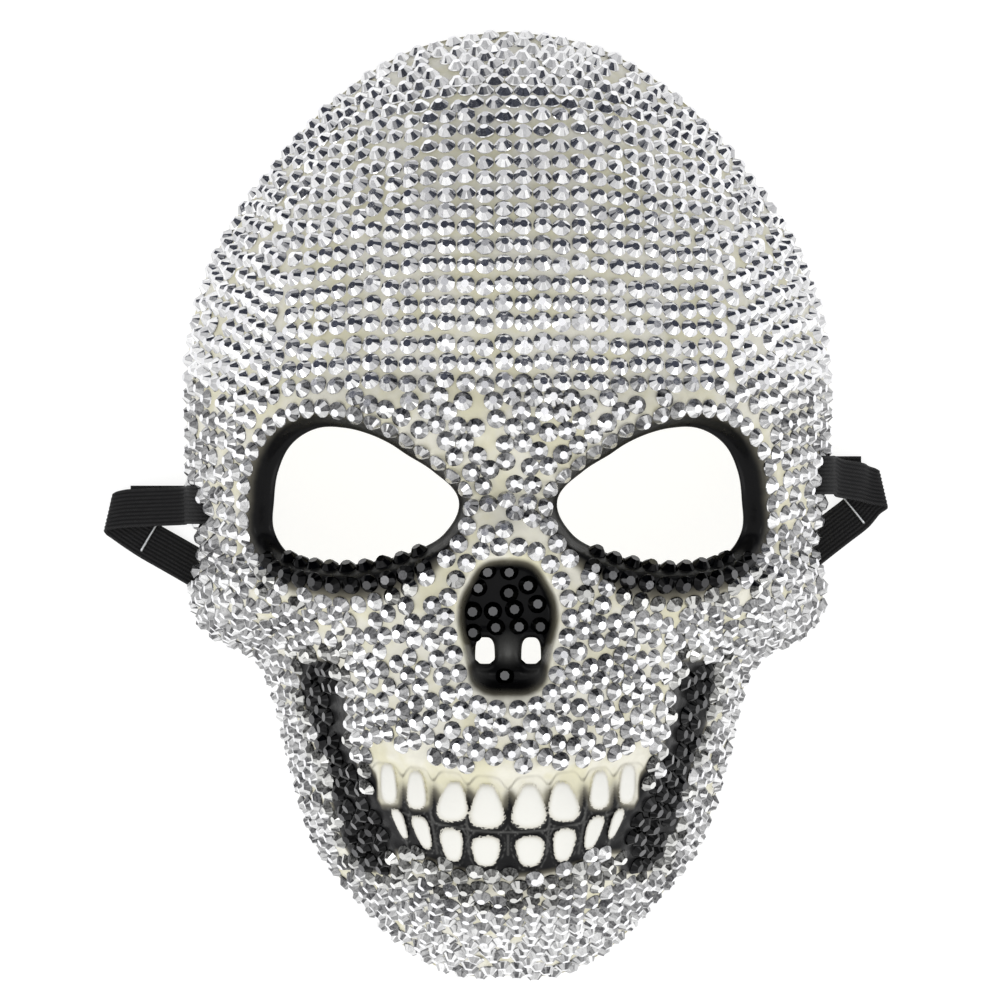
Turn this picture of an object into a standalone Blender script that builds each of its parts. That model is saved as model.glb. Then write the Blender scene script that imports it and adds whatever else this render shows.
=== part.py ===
# Full-face skull mask lying face up, with the ends of its flat elastic looped through the rim.
# X runs to the viewer's right, Y to the forehead, Z out of the face. Sizes in metres.
import math

import bmesh
import bpy
import numpy as np
from mathutils import Matrix, Vector
from mathutils.bvhtree import BVHTree

# Overall sizes of the bare moulded shell
MASK_WIDTH = 0.1664
MASK_LENGTH = 0.2466
MASK_DEPTH = 0.0780
WALL = 0.0018
RIM_ARCH = 0.0170
SHELL_FACES = 8000

# Openings
EYE_CENTRE_X = 0.0380
EYE_CENTRE_Y = 0.0005
EYE_WIDTH = 0.0472
SOCKET_DEPTH = 0.0070
NOSE_WIDTH = 0.0254
NOSE_DEPTH = 0.0085
NOSTRIL_WIDTH = 0.0048
NOSTRIL_LENGTH = 0.0066
NOSTRIL_X = 0.0058
NOSTRIL_Y = -0.0372

# Teeth and cheek grooves
TOOTH_HEIGHT = 0.0016
MOUTH_DEPTH = 0.0014
GROOVE_DEPTH = 0.0026

# Elastic and staples
STRAP_WIDTH = 0.0100
STRAP_THICK = 0.0011
STRAP_CLEAR = 0.00012
STRAP_RISE = 0.0014
SLOT_LENGTH = 0.0124
SLOT_HEIGHT = 0.0038
STAPLE_LENGTH = 0.0094
STAPLE_WIRE = 0.0006

# Cut stones
STONE_WIDTH = 0.0046
STONE_HEIGHT = 0.0020
STONE_GAP = 0.0003
STONE_SIDES = 8

# The left end of the elastic lies further out, so all is moved to bring the whole over the origin
CENTRE_SHIFT = 0.0031

# The features are laid out on the front of the face, a little inside the rim
HALF_W = MASK_WIDTH * 0.487
HALF_L = MASK_LENGTH * 0.485

# Outline: angle above the cross line in degrees, radius as a share of HALF_L
OUTLINE = (
    (-90, 1.035), (-84, 1.038), (-78, 1.006), (-70, 0.932), (-62, 0.868), (-54, 0.779),
    (-46, 0.704), (-40, 0.665), (-34, 0.646), (-29, 0.661), (-25, 0.703), (-20, 0.725),
    (-15, 0.713), (-9, 0.677), (-3, 0.681), (4, 0.696), (12, 0.711), (20, 0.741),
    (30, 0.788), (42, 0.840), (54, 0.889), (66, 0.955), (78, 1.011), (90, 1.031),
)
# Eye hole: angle from the outer side in degrees, radius as a share of the hole's width
EYE_OUTLINE = (
    (0, 0.458), (20, 0.462), (40, 0.470), (60, 0.445), (80, 0.394), (100, 0.360),
    (120, 0.350), (140, 0.365), (160, 0.438), (180, 0.542), (200, 0.500), (220, 0.412),
    (240, 0.356), (260, 0.336), (280, 0.350), (300, 0.386), (320, 0.466), (340, 0.487),
)
# Nose cavity: angle above the cross line, radius as a share of the cavity's width
NOSE_OUTLINE = (
    (-90, 0.735), (-70, 0.748), (-60, 0.713), (-45, 0.579), (-30, 0.508), (-15, 0.492),
    (0, 0.500), (25, 0.531), (47, 0.567), (64, 0.630), (90, 0.634),
)
# Swellings: x, y and the two radii as shares of HALF_W and HALF_L,
# height as a share of the depth
SWELLINGS = (
    # name, x, y, reach in x, reach in y, height
    ("brow", 0.47, 0.200, 0.30, 0.067, 0.038),
    ("between brows", 0.00, 0.167, 0.17, 0.084, 0.019),
    ("nose root", 0.00, 0.025, 0.11, 0.059, -0.038),
    ("nose bridge", 0.00, -0.067, 0.086, 0.075, 0.041),
    ("cheekbone", 0.62, -0.210, 0.27, 0.067, 0.051),
    ("cheekbone end", 0.89, -0.234, 0.136, 0.067, 0.051),
    ("upper jaw", 0.00, -0.586, 0.444, 0.300, 0.167),
    ("cheek hollow", 0.654, -0.452, 0.148, 0.126, -0.045),
    ("temple", 0.815, 0.351, 0.198, 0.218, -0.026),
    ("chin", 0.00, -0.887, 0.272, 0.109, 0.077),
    ("jaw corner", 0.543, -0.703, 0.17, 0.134, 0.026),
)
# Cheek groove: y as a share of HALF_L, centre and half breadth as shares of HALF_W
GROOVE = (
    (-0.78, 0.420, 0.046), (-0.74, 0.436, 0.062), (-0.69, 0.455, 0.068), (-0.62, 0.490, 0.052),
    (-0.56, 0.528, 0.038), (-0.485, 0.562, 0.044), (-0.41, 0.582, 0.052), (-0.35, 0.606, 0.046),
)
# Teeth of one side: inner and outer x as shares of HALF_W,
# biting end and root end as shares of HALF_L
TEETH = (
    ("upper one", 0.006, 0.122, -0.688, -0.590),
    ("upper two", 0.128, 0.236, -0.678, -0.582),
    ("upper three", 0.248, 0.325, -0.651, -0.568),
    ("upper four", 0.340, 0.402, -0.640, -0.580),
    ("lower one", 0.014, 0.118, -0.702, -0.776),
    ("lower two", 0.138, 0.220, -0.684, -0.770),
    ("lower three", 0.230, 0.302, -0.664, -0.742),
    ("lower four", 0.312, 0.370, -0.652, -0.708),
)
# Rows of dark stones in the nose: y, first x and step as shares of the cavity's width, how many
NOSE_ROWS = (
    (-0.681, -0.220, 0.232, 2), (-0.850, -0.307, 0.252, 3), (-1.060, -0.343, 0.209, 4),
    (-1.270, -0.362, 0.226, 4), (-1.725, -0.035, 0.0, 1),
)


def curve(x, rows, column=1):
    """Smooth curve through the rows of a table, by cubic pieces."""
    xs = np.array([row[0] for row in rows], float)
    ys = np.array([row[column] for row in rows], float)
    slope = np.gradient(ys, xs)
    x = np.clip(x, xs[0], xs[-1])
    k = np.clip(np.searchsorted(xs, x, side="right") - 1, 0, len(xs) - 2)
    h = xs[k + 1] - xs[k]
    t = (x - xs[k]) / h
    a = (2 * t**3 - 3 * t**2 + 1) * ys[k] + (3 * t**2 - 2 * t**3) * ys[k + 1]
    return a + h * ((t**3 - 2 * t**2 + t) * slope[k] + (t**3 - t**2) * slope[k + 1])


def ease(t):
    t = np.clip(t, 0.0, 1.0)
    return t * t * (3 - 2 * t)


def outline_radius(x, y):
    return HALF_L * curve(np.degrees(np.arctan2(y, np.abs(x))), OUTLINE)


def rim_height(y):
    t = np.clip((y / HALF_L - 0.27) / 0.55, -1, 1)
    return RIM_ARCH * (1 - t * t) ** 1.5 - 0.001


def eye_radius(angle):
    before = tuple((a - 360, r) for a, r in EYE_OUTLINE[-2:])
    after = tuple((a + 360, r) for a, r in EYE_OUTLINE[:3])
    rows = before + EYE_OUTLINE + after
    return EYE_WIDTH * curve(angle % 360, rows)


def socket(x, y):
    """How far the socket's wall has fallen, nought outside and one at the hole."""
    dx = np.abs(x) - EYE_CENTRE_X
    dy = y - EYE_CENTRE_Y
    angle = np.degrees(np.arctan2(dy, dx))
    away = np.hypot(dx, dy) - eye_radius(angle)
    outer = np.clip(np.cos(np.radians(angle - 15)), 0, 1) ** 2
    lower = np.clip(-np.sin(np.radians(angle)), 0, 1) ** 2
    breadth = EYE_WIDTH * (0.075 + 0.075 * outer + 0.01 * lower)
    return 1 - ease(away / breadth)


def nose_share(x, y):
    dy = y - (-1.18 * NOSE_WIDTH)
    angle = np.degrees(np.arctan2(dy, np.abs(x)))
    return np.hypot(x, dy) / (NOSE_WIDTH * curve(angle, NOSE_OUTLINE))


def nose_floor(x, y):
    """Depth of the nose cavity with the ridge between the nostrils and the hollow below."""
    inside = 1 - ease((nose_share(x, y) - 0.80) / 0.24)
    u = x / NOSE_WIDTH
    v = y / NOSE_WIDTH
    ridge = np.exp(-(u / 0.10) ** 2 - ((v + 1.48) / 0.13) ** 2)
    hollow = np.exp(-(u / 0.17) ** 4 - ((v + 1.72) / 0.10) ** 4)
    slope = 0.72 + 0.28 * ease((-v - 0.62) / 0.5)
    return inside * (NOSE_DEPTH * slope - 0.0032 * ridge + 0.0016 * hollow)


def groove(x, y):
    share = y / HALF_L
    centre = HALF_W * curve(share, GROOVE, 1)
    half = HALF_W * curve(share, GROOVE, 2)
    ends = ease((share + 0.80) / 0.05) * ease((-0.325 - share) / 0.05)
    across = np.abs(np.abs(x) - centre) / half
    return ends * (1 - ease((across - 0.45) / 0.9))


def mouth(x, y):
    """The sunk band that carries both rows of teeth."""
    u = np.abs(x) / HALF_W
    v = y / HALF_L
    top = -0.575 + 0.06 * u
    low = -0.790 + 0.52 * u**2
    band = ease((top + 0.02 - v) / 0.03) * ease((v - low + 0.02) / 0.03)
    return band * (1 - ease((u - 0.40) / 0.05))


def teeth(x, y):
    u = np.abs(x) / HALF_W
    v = y / HALF_L
    height = np.zeros_like(u)
    for name, inner, outer, bite, root in TEETH:
        a = (u - (inner + outer) / 2) / ((outer - inner) / 2)
        b = (v - (bite + root) / 2) / (abs(root - bite) / 2)
        bump = np.clip(1 - np.abs(a) ** 3.2 - np.abs(b) ** 3.2, 0, 1) ** 0.5
        height = np.maximum(height, bump)
    return height


def outer_height(x, y, with_teeth=True):
    radius = np.hypot(x, y)
    share = radius / outline_radius(x, y)
    lift = np.sin(np.arctan2(y, np.abs(x)))
    power = 2.7 - 0.3 * lift
    keep = 0.93
    edge = np.sqrt(1 - keep**power)
    inside = np.sqrt(np.clip(1 - np.clip(keep * share, 0, 1) ** power, 0, 1))
    dome = (inside - edge) / (1 - edge)
    rim = rim_height(y)
    z = rim + (MASK_DEPTH - rim) * dome
    relief = np.zeros_like(z)
    for name, cx, cy, rx, ry, height in SWELLINGS:
        a = (np.abs(x) / HALF_W - cx) / rx
        b = (y / HALF_L - cy) / ry
        relief = relief + MASK_DEPTH * height * np.exp(-a * a - b * b)
    relief = relief * (1 - np.clip(share, 0, 1) ** 8)
    z = z + relief - SOCKET_DEPTH * socket(x, y) - nose_floor(x, y) - GROOVE_DEPTH * groove(x, y)
    z = z - MOUTH_DEPTH * mouth(x, y)
    if with_teeth:
        z = z + TOOTH_HEIGHT * teeth(x, y)
    return z


def inner_height(x, y):
    """The outer surface moved inwards by the wall, the lowest of a ball's positions."""
    low = outer_height(x, y, False) - WALL
    for ring in (0.5, 0.8, 1.0):
        drop = WALL * math.sqrt(1 - ring * ring)
        for k in range(12):
            a = 2 * math.pi * (k + 0.5 * (ring == 0.8)) / 12
            px = x + ring * WALL * math.cos(a)
            py = y + ring * WALL * math.sin(a)
            low = np.minimum(low, outer_height(px, py, False) - drop)
    return low


def material(name, colour, rough, metal=0.0, coat=0.0):
    slot = bpy.data.materials.new(name)
    slot.use_nodes = True
    shader = slot.node_tree.nodes["Principled BSDF"]
    shader.inputs["Base Color"].default_value = (*colour, 1)
    shader.inputs["Roughness"].default_value = rough
    shader.inputs["Metallic"].default_value = metal
    shader.inputs["Coat Weight"].default_value = coat
    return slot


def add_object(name, verts, faces, slot):
    mesh = bpy.data.meshes.new(name)
    mesh.from_pydata([tuple(v) for v in verts], [], faces)
    mesh.update()
    thing = bpy.data.objects.new(name, mesh)
    bpy.context.scene.collection.objects.link(thing)
    if slot is not None:
        mesh.materials.append(slot)
    return thing


def prism(name, ring, low, high):
    """A closed upright cutter on a ring of plan points."""
    n = len(ring)
    verts = [(x, y, low) for x, y in ring] + [(x, y, high) for x, y in ring]
    faces = [tuple(range(n))[::-1], tuple(range(n, 2 * n))]
    faces += [(k, (k + 1) % n, n + (k + 1) % n, n + k) for k in range(n)]
    return add_object(name, verts, faces, None)


def box(name, centre, size, turn=None):
    half = [s / 2 for s in size]
    corners = []
    for sz in (-half[2], half[2]):
        for sy in (-half[1], half[1]):
            corners += [Vector((-half[0], sy, sz)), Vector((half[0], sy, sz))]
    if turn is not None:
        corners = [turn @ c for c in corners]
    verts = [c + Vector(centre) for c in corners]
    faces = [(0, 2, 3, 1), (4, 5, 7, 6), (0, 1, 5, 4), (1, 3, 7, 5), (3, 2, 6, 7), (2, 0, 4, 6)]
    return add_object(name, verts, faces, None)


def cut(thing, cutters):
    for cutter in cutters:
        step = thing.modifiers.new("cut", "BOOLEAN")
        step.operation = "DIFFERENCE"
        step.solver = "EXACT"
        step.object = cutter


def settle(thing, spare):
    """Puts the result of the steps in the mesh and takes the cutters away."""
    bpy.context.view_layer.update()
    seen = bpy.context.evaluated_depsgraph_get()
    mesh = bpy.data.meshes.new_from_object(thing.evaluated_get(seen))
    old = thing.data
    thing.modifiers.clear()
    thing.data = mesh
    mesh.name = thing.name
    bpy.data.meshes.remove(old)
    for other in spare:
        data = other.data
        bpy.data.objects.remove(other)
        bpy.data.meshes.remove(data)


def shell_surface(across, along, height, end_share):
    """Rings of points from the middle of the face to the rim."""
    angle = 2 * math.pi * np.arange(across) / across
    step = np.arange(1, along + 1) / along
    share = np.sin(step * math.pi / 2) ** 0.92
    limit = HALF_L * curve(np.degrees(np.arctan2(np.sin(angle), np.abs(np.cos(angle)))), OUTLINE)
    reach = limit - end_share
    r = share[:, None] * reach[None, :]
    x = r * np.cos(angle)[None, :]
    y = r * np.sin(angle)[None, :]
    z = height(x, y)
    z[-1] = rim_height(y[-1])
    z[:-1] = np.maximum(z[:-1], rim_height(y[:-1]) + 0.0003)
    verts = [(0.0, 0.0, float(height(np.zeros(1), np.zeros(1))[0]))]
    verts += list(zip(x.ravel().tolist(), y.ravel().tolist(), z.ravel().tolist()))
    return verts


def build_shell(slot):
    across = 432
    outer_rings = 116
    inner_rings = 76
    outer = shell_surface(across, outer_rings, outer_height, 0.0)
    inner = shell_surface(across, inner_rings, inner_height, WALL * 1.04)
    verts = outer + inner
    shift = len(outer)
    faces = []

    def number(ring, k):
        return 1 + ring * across + k % across

    for k in range(across):
        faces.append((0, number(0, k), number(0, k + 1)))
        faces.append((shift, shift + number(0, k + 1), shift + number(0, k)))
    for ring in range(outer_rings - 1):
        for k in range(across):
            near, far = ring, ring + 1
            faces.append((number(near, k), number(far, k), number(far, k + 1), number(near, k + 1)))
    for ring in range(inner_rings - 1):
        for k in range(across):
            near, far = ring, ring + 1
            corners = (number(near, k), number(near, k + 1), number(far, k + 1), number(far, k))
            faces.append(tuple(shift + v for v in corners))
    for k in range(across):
        a = number(outer_rings - 1, k)
        b = number(outer_rings - 1, k + 1)
        c = shift + number(inner_rings - 1, k)
        d = shift + number(inner_rings - 1, k + 1)
        faces.append((a, c, d, b))
    shell = add_object("mask_shell", verts, faces, slot)

    cutters = []
    for side in (-1, 1):
        ring = []
        for k in range(44):
            angle = 360 * k / 44
            r = float(eye_radius(np.array([angle]))[0])
            x = EYE_CENTRE_X + r * math.cos(math.radians(angle))
            ring.append((side * x, EYE_CENTRE_Y + r * math.sin(math.radians(angle))))
        cutters.append(prism("eye_cut", ring[::side], -0.01, MASK_DEPTH * 1.3))
        ring = []
        for k in range(14):
            a = 2 * math.pi * k / 14
            taper = 1 - 0.16 * math.sin(a)
            c = math.copysign(abs(math.cos(a)) ** 0.6, math.cos(a))
            s = math.copysign(abs(math.sin(a)) ** 0.6, math.sin(a))
            x = side * NOSTRIL_X + NOSTRIL_WIDTH / 2 * taper * c
            ring.append((x, NOSTRIL_Y + NOSTRIL_LENGTH / 2 * s))
        cutters.append(prism("nostril_cut", ring, -0.01, MASK_DEPTH * 1.3))
    for place in (LEFT, RIGHT):
        cutters.append(box("slot_cut", place["slot"], (0.016, SLOT_LENGTH, SLOT_HEIGHT)))
    fewer = shell.modifiers.new("fewer", "DECIMATE")
    fewer.ratio = SHELL_FACES / (2 * across * (outer_rings + inner_rings))
    settle(shell, [])
    cutters.append(box("floor_cut", (0, 0, -0.01), (MASK_WIDTH * 1.4, MASK_LENGTH * 1.4, 0.02)))
    cut(shell, cutters)
    settle(shell, cutters)
    return shell


def spline(points, count):
    """Points on a smooth path, with as many steps between each pair."""
    p = np.array([points[0]] + list(points) + [points[-1]], float)
    out = []
    for k in range(1, len(p) - 2):
        for t in np.arange(count) / count:
            a = -t + 2 * t**2 - t**3
            b = 2 - 5 * t**2 + 3 * t**3
            c = t + 4 * t**2 - 3 * t**3
            d = -(t**2) + t**3
            out.append(0.5 * (a * p[k - 1] + b * p[k] + c * p[k + 1] + d * p[k + 2]))
    out.append(p[-2])
    return np.array(out)


# Where the elastic runs on each side: slot, fold and the place where it goes under the rim.
# Angles are those of the line across the elastic, seen from above.
def slot_place(side, y):
    """The point on the side wall, a set way in from the rim, where the slot is cut."""
    x = side * (HALF_L * float(curve(np.degrees(np.arctan2(y, HALF_W)), OUTLINE)) - 0.0038)
    z = float(outer_height(np.array([x]), np.array([y]))[0])
    return (x, y, z)


LEFT = {
    "side": -1, "slot": slot_place(-1, -0.0006), "rim_y": -0.0009, "fold_x": 0.1042,
    "fold_y": (-0.0017, -0.0040), "staple": (0.0942, -0.0098), "under": (0.0826, -0.0165),
    "across": (85.4, 102.7, 120.0),
}
RIGHT = {
    "side": 1, "slot": slot_place(1, 0.0071), "rim_y": 0.0063, "fold_x": 0.0980,
    "fold_y": (0.0045, 0.0025), "staple": (0.0911, -0.0028), "under": (0.0819, -0.0100),
    "across": (81.0, 104.8, 128.7),
}


def end_path(place):
    """Stations from the cut end of the elastic to where it goes under the rim.

    Each station has the distance out from the middle, y, z and the angle of the line across.
    """
    slot_out = abs(place["slot"][0])
    slot_y = place["slot"][1]
    slot_z = place["slot"][2]
    rim_y = place["rim_y"]
    fold_y = place["fold_y"]
    staple = place["staple"]
    under = place["under"]
    rim_z = float(rim_height(np.array([rim_y]))[0])
    edge = slot_out + 0.0038
    fold = place["fold_x"]
    low = STRAP_THICK / 2 + STRAP_CLEAR
    high = low + STRAP_RISE
    first, mid, last = place["across"]
    turn = 0.0013
    tail_y = slot_y
    rows = [
        (fold - 0.0055, tail_y, low, 90.0),
        (edge + 0.0020, tail_y, low, 90.0),
        (edge - 0.0045, tail_y, low + 0.0004, 90.0),
        (edge - 0.0105, tail_y, low + 0.0050, 90.0),
        (edge - 0.0115, tail_y, slot_z * 0.62, 90.0),
        (edge - 0.0100, slot_y, slot_z - 0.0004, 90.0),
        (edge - 0.0062, slot_y, slot_z + 0.0003, 90.0),
        (slot_out + 0.0012, slot_y, slot_z + 0.0001, 90.0),
        (edge + 0.0002, slot_y, slot_z - 0.0030, 90.0),
        (edge + 0.0014, slot_y, slot_z - 0.0070, 90.0),
        (edge + 0.0028, rim_y, rim_z + 0.0008, first),
        ((edge + fold) / 2 + 0.001, (rim_y + fold_y[0]) / 2, (rim_z + high) / 2 + 0.0012, first),
        (fold - 0.0035, fold_y[0], high + 2 * turn + 0.0006, (first + mid) / 2),
        (fold, (fold_y[0] + fold_y[1]) / 2, high + turn, mid),
        (fold - 0.0030, fold_y[1] - 0.0012, high, (mid + last) / 2),
        (staple[0], staple[1], high, last),
        ((staple[0] + under[0]) / 2, (staple[1] + under[1]) / 2, (high + low) / 2, last),
        (under[0], under[1], low, last),
    ]
    return rows


def strap_stations():
    left = spline(end_path(LEFT), 3)
    right = spline(end_path(RIGHT), 3)
    left[:, 0] *= -1
    left[:, 3] = 180 - left[:, 3]
    start = left[-1]
    stop = right[-1]
    run = []
    reach = 0.275
    out_a = (math.cos(math.radians(-30)), math.sin(math.radians(-30)))
    out_b = (math.cos(math.radians(38.7)), math.sin(math.radians(38.7)))
    count = 20
    for k in range(1, count):
        t = k / count
        h = (2 * t**3 - 3 * t**2 + 1, t**3 - 2 * t**2 + t, 3 * t**2 - 2 * t**3, t**3 - t**2)
        d = (6 * t**2 - 6 * t, 3 * t**2 - 4 * t + 1, 6 * t - 6 * t**2, 3 * t**2 - 2 * t)
        x = h[0] * start[0] + h[1] * reach * out_a[0] + h[2] * stop[0] + h[3] * reach * out_b[0]
        y = h[0] * start[1] + h[1] * reach * out_a[1] + h[2] * stop[1] + h[3] * reach * out_b[1]
        dx = d[0] * start[0] + d[1] * reach * out_a[0] + d[2] * stop[0] + d[3] * reach * out_b[0]
        dy = d[0] * start[1] + d[1] * reach * out_a[1] + d[2] * stop[1] + d[3] * reach * out_b[1]
        run.append((x, y, STRAP_THICK / 2 + STRAP_CLEAR, math.degrees(math.atan2(dy, dx)) + 90))
    return np.vstack([left, np.array(run), right[::-1]])


def build_strap(slot):
    rows = strap_stations()
    centre = rows[:, :3]
    angle = np.radians(rows[:, 3])
    across = np.stack([np.cos(angle), np.sin(angle), np.zeros(len(rows))], 1)
    along = np.gradient(centre, axis=0)
    along /= np.linalg.norm(along, axis=1)[:, None]
    face = np.cross(along, across)
    face /= np.linalg.norm(face, axis=1)[:, None]
    verts = []
    for k in range(len(rows)):
        for w, t in ((-1, -1), (1, -1), (1, 1), (-1, 1)):
            verts.append(centre[k] + across[k] * w * STRAP_WIDTH / 2 + face[k] * t * STRAP_THICK / 2)
    faces = [(0, 1, 2, 3)]
    for k in range(len(rows) - 1):
        for c in range(4):
            d = (c + 1) % 4
            faces.append((4 * k + c, 4 * k + 4 + c, 4 * k + 4 + d, 4 * k + d))
    last = 4 * (len(rows) - 1)
    faces.append((last + 3, last + 2, last + 1, last))
    strap = add_object("elastic_strap", verts, faces, slot)
    return strap, float(np.sum(np.linalg.norm(np.diff(centre, axis=0), axis=1)))


def staple_place(place):
    """Plan point, direction across the elastic and height of the elastic's middle under a staple."""
    x = place["side"] * place["staple"][0]
    y = place["staple"][1]
    angle = place["across"][2] if place["side"] > 0 else 180 - place["across"][2]
    return x, y, angle, STRAP_THICK / 2 + STRAP_CLEAR + STRAP_RISE


def build_staple(name, place, slot, strap):
    x, y, angle, centre_z = staple_place(place)
    top = centre_z + STRAP_THICK / 2 + 0.0002
    half = STAPLE_LENGTH / 2
    wire = STAPLE_WIRE
    section = []
    for u, z in (
        (-half, top + wire), (half, top + wire), (half, 0.0003), (half - wire, 0.0003),
        (half - wire, top), (-half + wire, top), (-half + wire, 0.0003), (-half, 0.0003),
    ):
        section.append((u, z))
    turn = Matrix.Rotation(math.radians(angle), 3, "Z")
    shift = Vector((x, y, 0)) + turn @ Vector((STAPLE_LENGTH * 0.12, 0, 0))
    verts = []
    for side in (-1, 1):
        for u, z in section:
            verts.append(turn @ Vector((u, side * wire * 0.6, z)) + shift)
    n = len(section)
    faces = [(7, 6, 5, 0), (5, 4, 1, 0), (4, 3, 2, 1)]
    faces += [tuple(n + v for v in face)[::-1] for face in faces]
    faces += [(k, (k + 1) % n, n + (k + 1) % n, n + k) for k in range(n)]
    staple = add_object(name, verts, faces, slot)
    holes = []
    for side in (-1, 1):
        spot = turn @ Vector((side * (half - wire / 2), 0, 0)) + shift
        size = (wire + 0.0005, wire * 1.2 + 0.0005, 0.0050)
        holes.append(box("leg_hole", (spot.x, spot.y, 0.0015), size, turn))
    cut(strap, holes)
    settle(strap, holes)
    return staple


def stone_mesh(name, spot, normal, spin, slot):
    """A flat-backed stone: a table, a wide facet for each side and a thin girdle."""
    turn = Vector((0, 0, 1)).rotation_difference(normal).to_matrix() @ Matrix.Rotation(spin, 3, "Z")
    n = STONE_SIDES
    rings = ((0.50, 0.0), (0.50, 0.16), (0.25, 1.0))
    verts = []
    for radius, height in rings:
        for k in range(n):
            a = 2 * math.pi * k / n
            out = Vector((math.cos(a), math.sin(a), 0)) * radius * STONE_WIDTH
            verts.append(turn @ (out + Vector((0, 0, height * STONE_HEIGHT))) + spot)
    faces = [tuple(range(n))[::-1], tuple(range(2 * n, 3 * n))]
    for ring in range(2):
        low = ring * n
        high = low + n
        faces += [(low + k, low + (k + 1) % n, high + (k + 1) % n, high + k) for k in range(n)]
    return add_object(name, verts, faces, slot)


def outer_normal(x, y):
    h = 0.0006
    px = np.array([x + h, x - h, x, x])
    py = np.array([y, y, y + h, y - h])
    z = outer_height(px, py)
    return Vector((-(z[0] - z[1]) / (2 * h), -(z[2] - z[3]) / (2 * h), 1.0)).normalized()


def set_stone(name, x, y, tree, slot, spin, normal=None):
    """Stands a stone clear of the shell by the set gap."""
    normal = normal or outer_normal(x, y)
    z = float(outer_height(np.array([x]), np.array([y]))[0])
    spot = Vector((x, y, z))
    turn = Vector((0, 0, 1)).rotation_difference(normal).to_matrix()
    for step in range(60):
        nearest = 1.0
        for radius in (0.0, 0.5, 1.0):
            for k in range(8):
                a = 2 * math.pi * k / 8
                p = spot + turn @ Vector((math.cos(a), math.sin(a), 0)) * (radius * STONE_WIDTH / 2)
                hit, face, index, distance = tree.find_nearest(p)
                if (p - hit).dot(face) < 0:
                    distance = -distance
                nearest = min(nearest, distance)
        if nearest >= STONE_GAP:
            break
        spot = spot + normal * max(0.00008, (STONE_GAP - nearest) * 0.5)
    return stone_mesh(name, spot, normal, spin, slot)


def build_stones(shell, slot):
    work = bmesh.new()
    work.from_mesh(shell.data)
    tree = BVHTree.FromBMesh(work)
    work.free()
    number = 0
    for y, first, step, count in NOSE_ROWS:
        for k in range(count):
            number += 1
            x = NOSE_WIDTH * (first + step * k)
            set_stone(f"nose_stone_{number:02d}", x, NOSE_WIDTH * y, tree, slot, 0.3 * number)
    for side, word in ((-1, "left"), (1, "right")):
        angles = np.linspace(222, 324, 200)
        radius = eye_radius(angles) + 0.0009
        px = EYE_CENTRE_X + radius * np.cos(np.radians(angles))
        py = EYE_CENTRE_Y + radius * np.sin(np.radians(angles))
        length = np.concatenate([[0], np.cumsum(np.hypot(np.diff(px), np.diff(py)))])
        count = int(length[-1] / (STONE_WIDTH * 1.07)) + 1
        for k in range(count):
            at = length[-1] * (k + 0.5) / count
            x = float(np.interp(at, length, px))
            y = float(np.interp(at, length, py))
            flat = outer_normal(side * x, y)
            normal = Vector((flat.x * 0.6, flat.y, flat.z)).normalized()
            set_stone(f"{word}_eye_stone_{k + 1:02d}", side * x, y, tree, slot, 0.5 * k, normal)


for thing in list(bpy.data.objects):
    bpy.data.objects.remove(thing)

cream = material("cream_plastic", (0.74, 0.71, 0.60), 0.32, coat=0.3)
woven = material("black_elastic", (0.012, 0.012, 0.013), 0.75)
wire = material("staple_wire", (0.55, 0.56, 0.57), 0.35, metal=1.0)
jet = material("black_stone", (0.012, 0.012, 0.014), 0.12, coat=0.6)

shell = build_shell(cream)
strap, strap_length = build_strap(woven)
build_staple("staple_left", LEFT, wire, strap)
build_staple("staple_right", RIGHT, wire, strap)
build_stones(shell, jet)
total = 0
for thing in bpy.data.objects:
    thing.data.transform(Matrix.Translation((CENTRE_SHIFT, 0, 0)))
    thing.data.calc_loop_triangles()
    total += len(thing.data.loop_triangles)
print("elastic length mm", round(strap_length * 1000, 1))
print("triangles", total, "pieces", len(bpy.data.objects))
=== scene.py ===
# A skull mask set all over with cut stones, lying face up with its flat elastic.
# X runs to the viewer's right, Y to the forehead, Z out of the face, in metres.
import math

import bmesh
import bpy
import numpy as np
from mathutils import Matrix, Vector
from mathutils.geometry import delaunay_2d_cdt


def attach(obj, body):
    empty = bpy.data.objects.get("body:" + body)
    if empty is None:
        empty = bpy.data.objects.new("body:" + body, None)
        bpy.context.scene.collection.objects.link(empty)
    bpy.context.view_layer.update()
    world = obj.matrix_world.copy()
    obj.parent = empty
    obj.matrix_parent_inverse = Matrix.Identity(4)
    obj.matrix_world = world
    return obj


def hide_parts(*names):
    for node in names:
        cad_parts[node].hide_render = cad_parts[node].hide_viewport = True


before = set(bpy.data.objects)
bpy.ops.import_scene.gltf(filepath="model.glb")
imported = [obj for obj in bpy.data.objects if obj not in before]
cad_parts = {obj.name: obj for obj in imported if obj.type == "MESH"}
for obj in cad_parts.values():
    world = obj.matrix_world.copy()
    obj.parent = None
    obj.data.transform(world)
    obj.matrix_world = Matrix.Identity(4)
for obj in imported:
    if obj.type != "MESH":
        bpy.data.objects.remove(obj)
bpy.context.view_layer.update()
mm = 0.001
random = np.random.default_rng(20)

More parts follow.
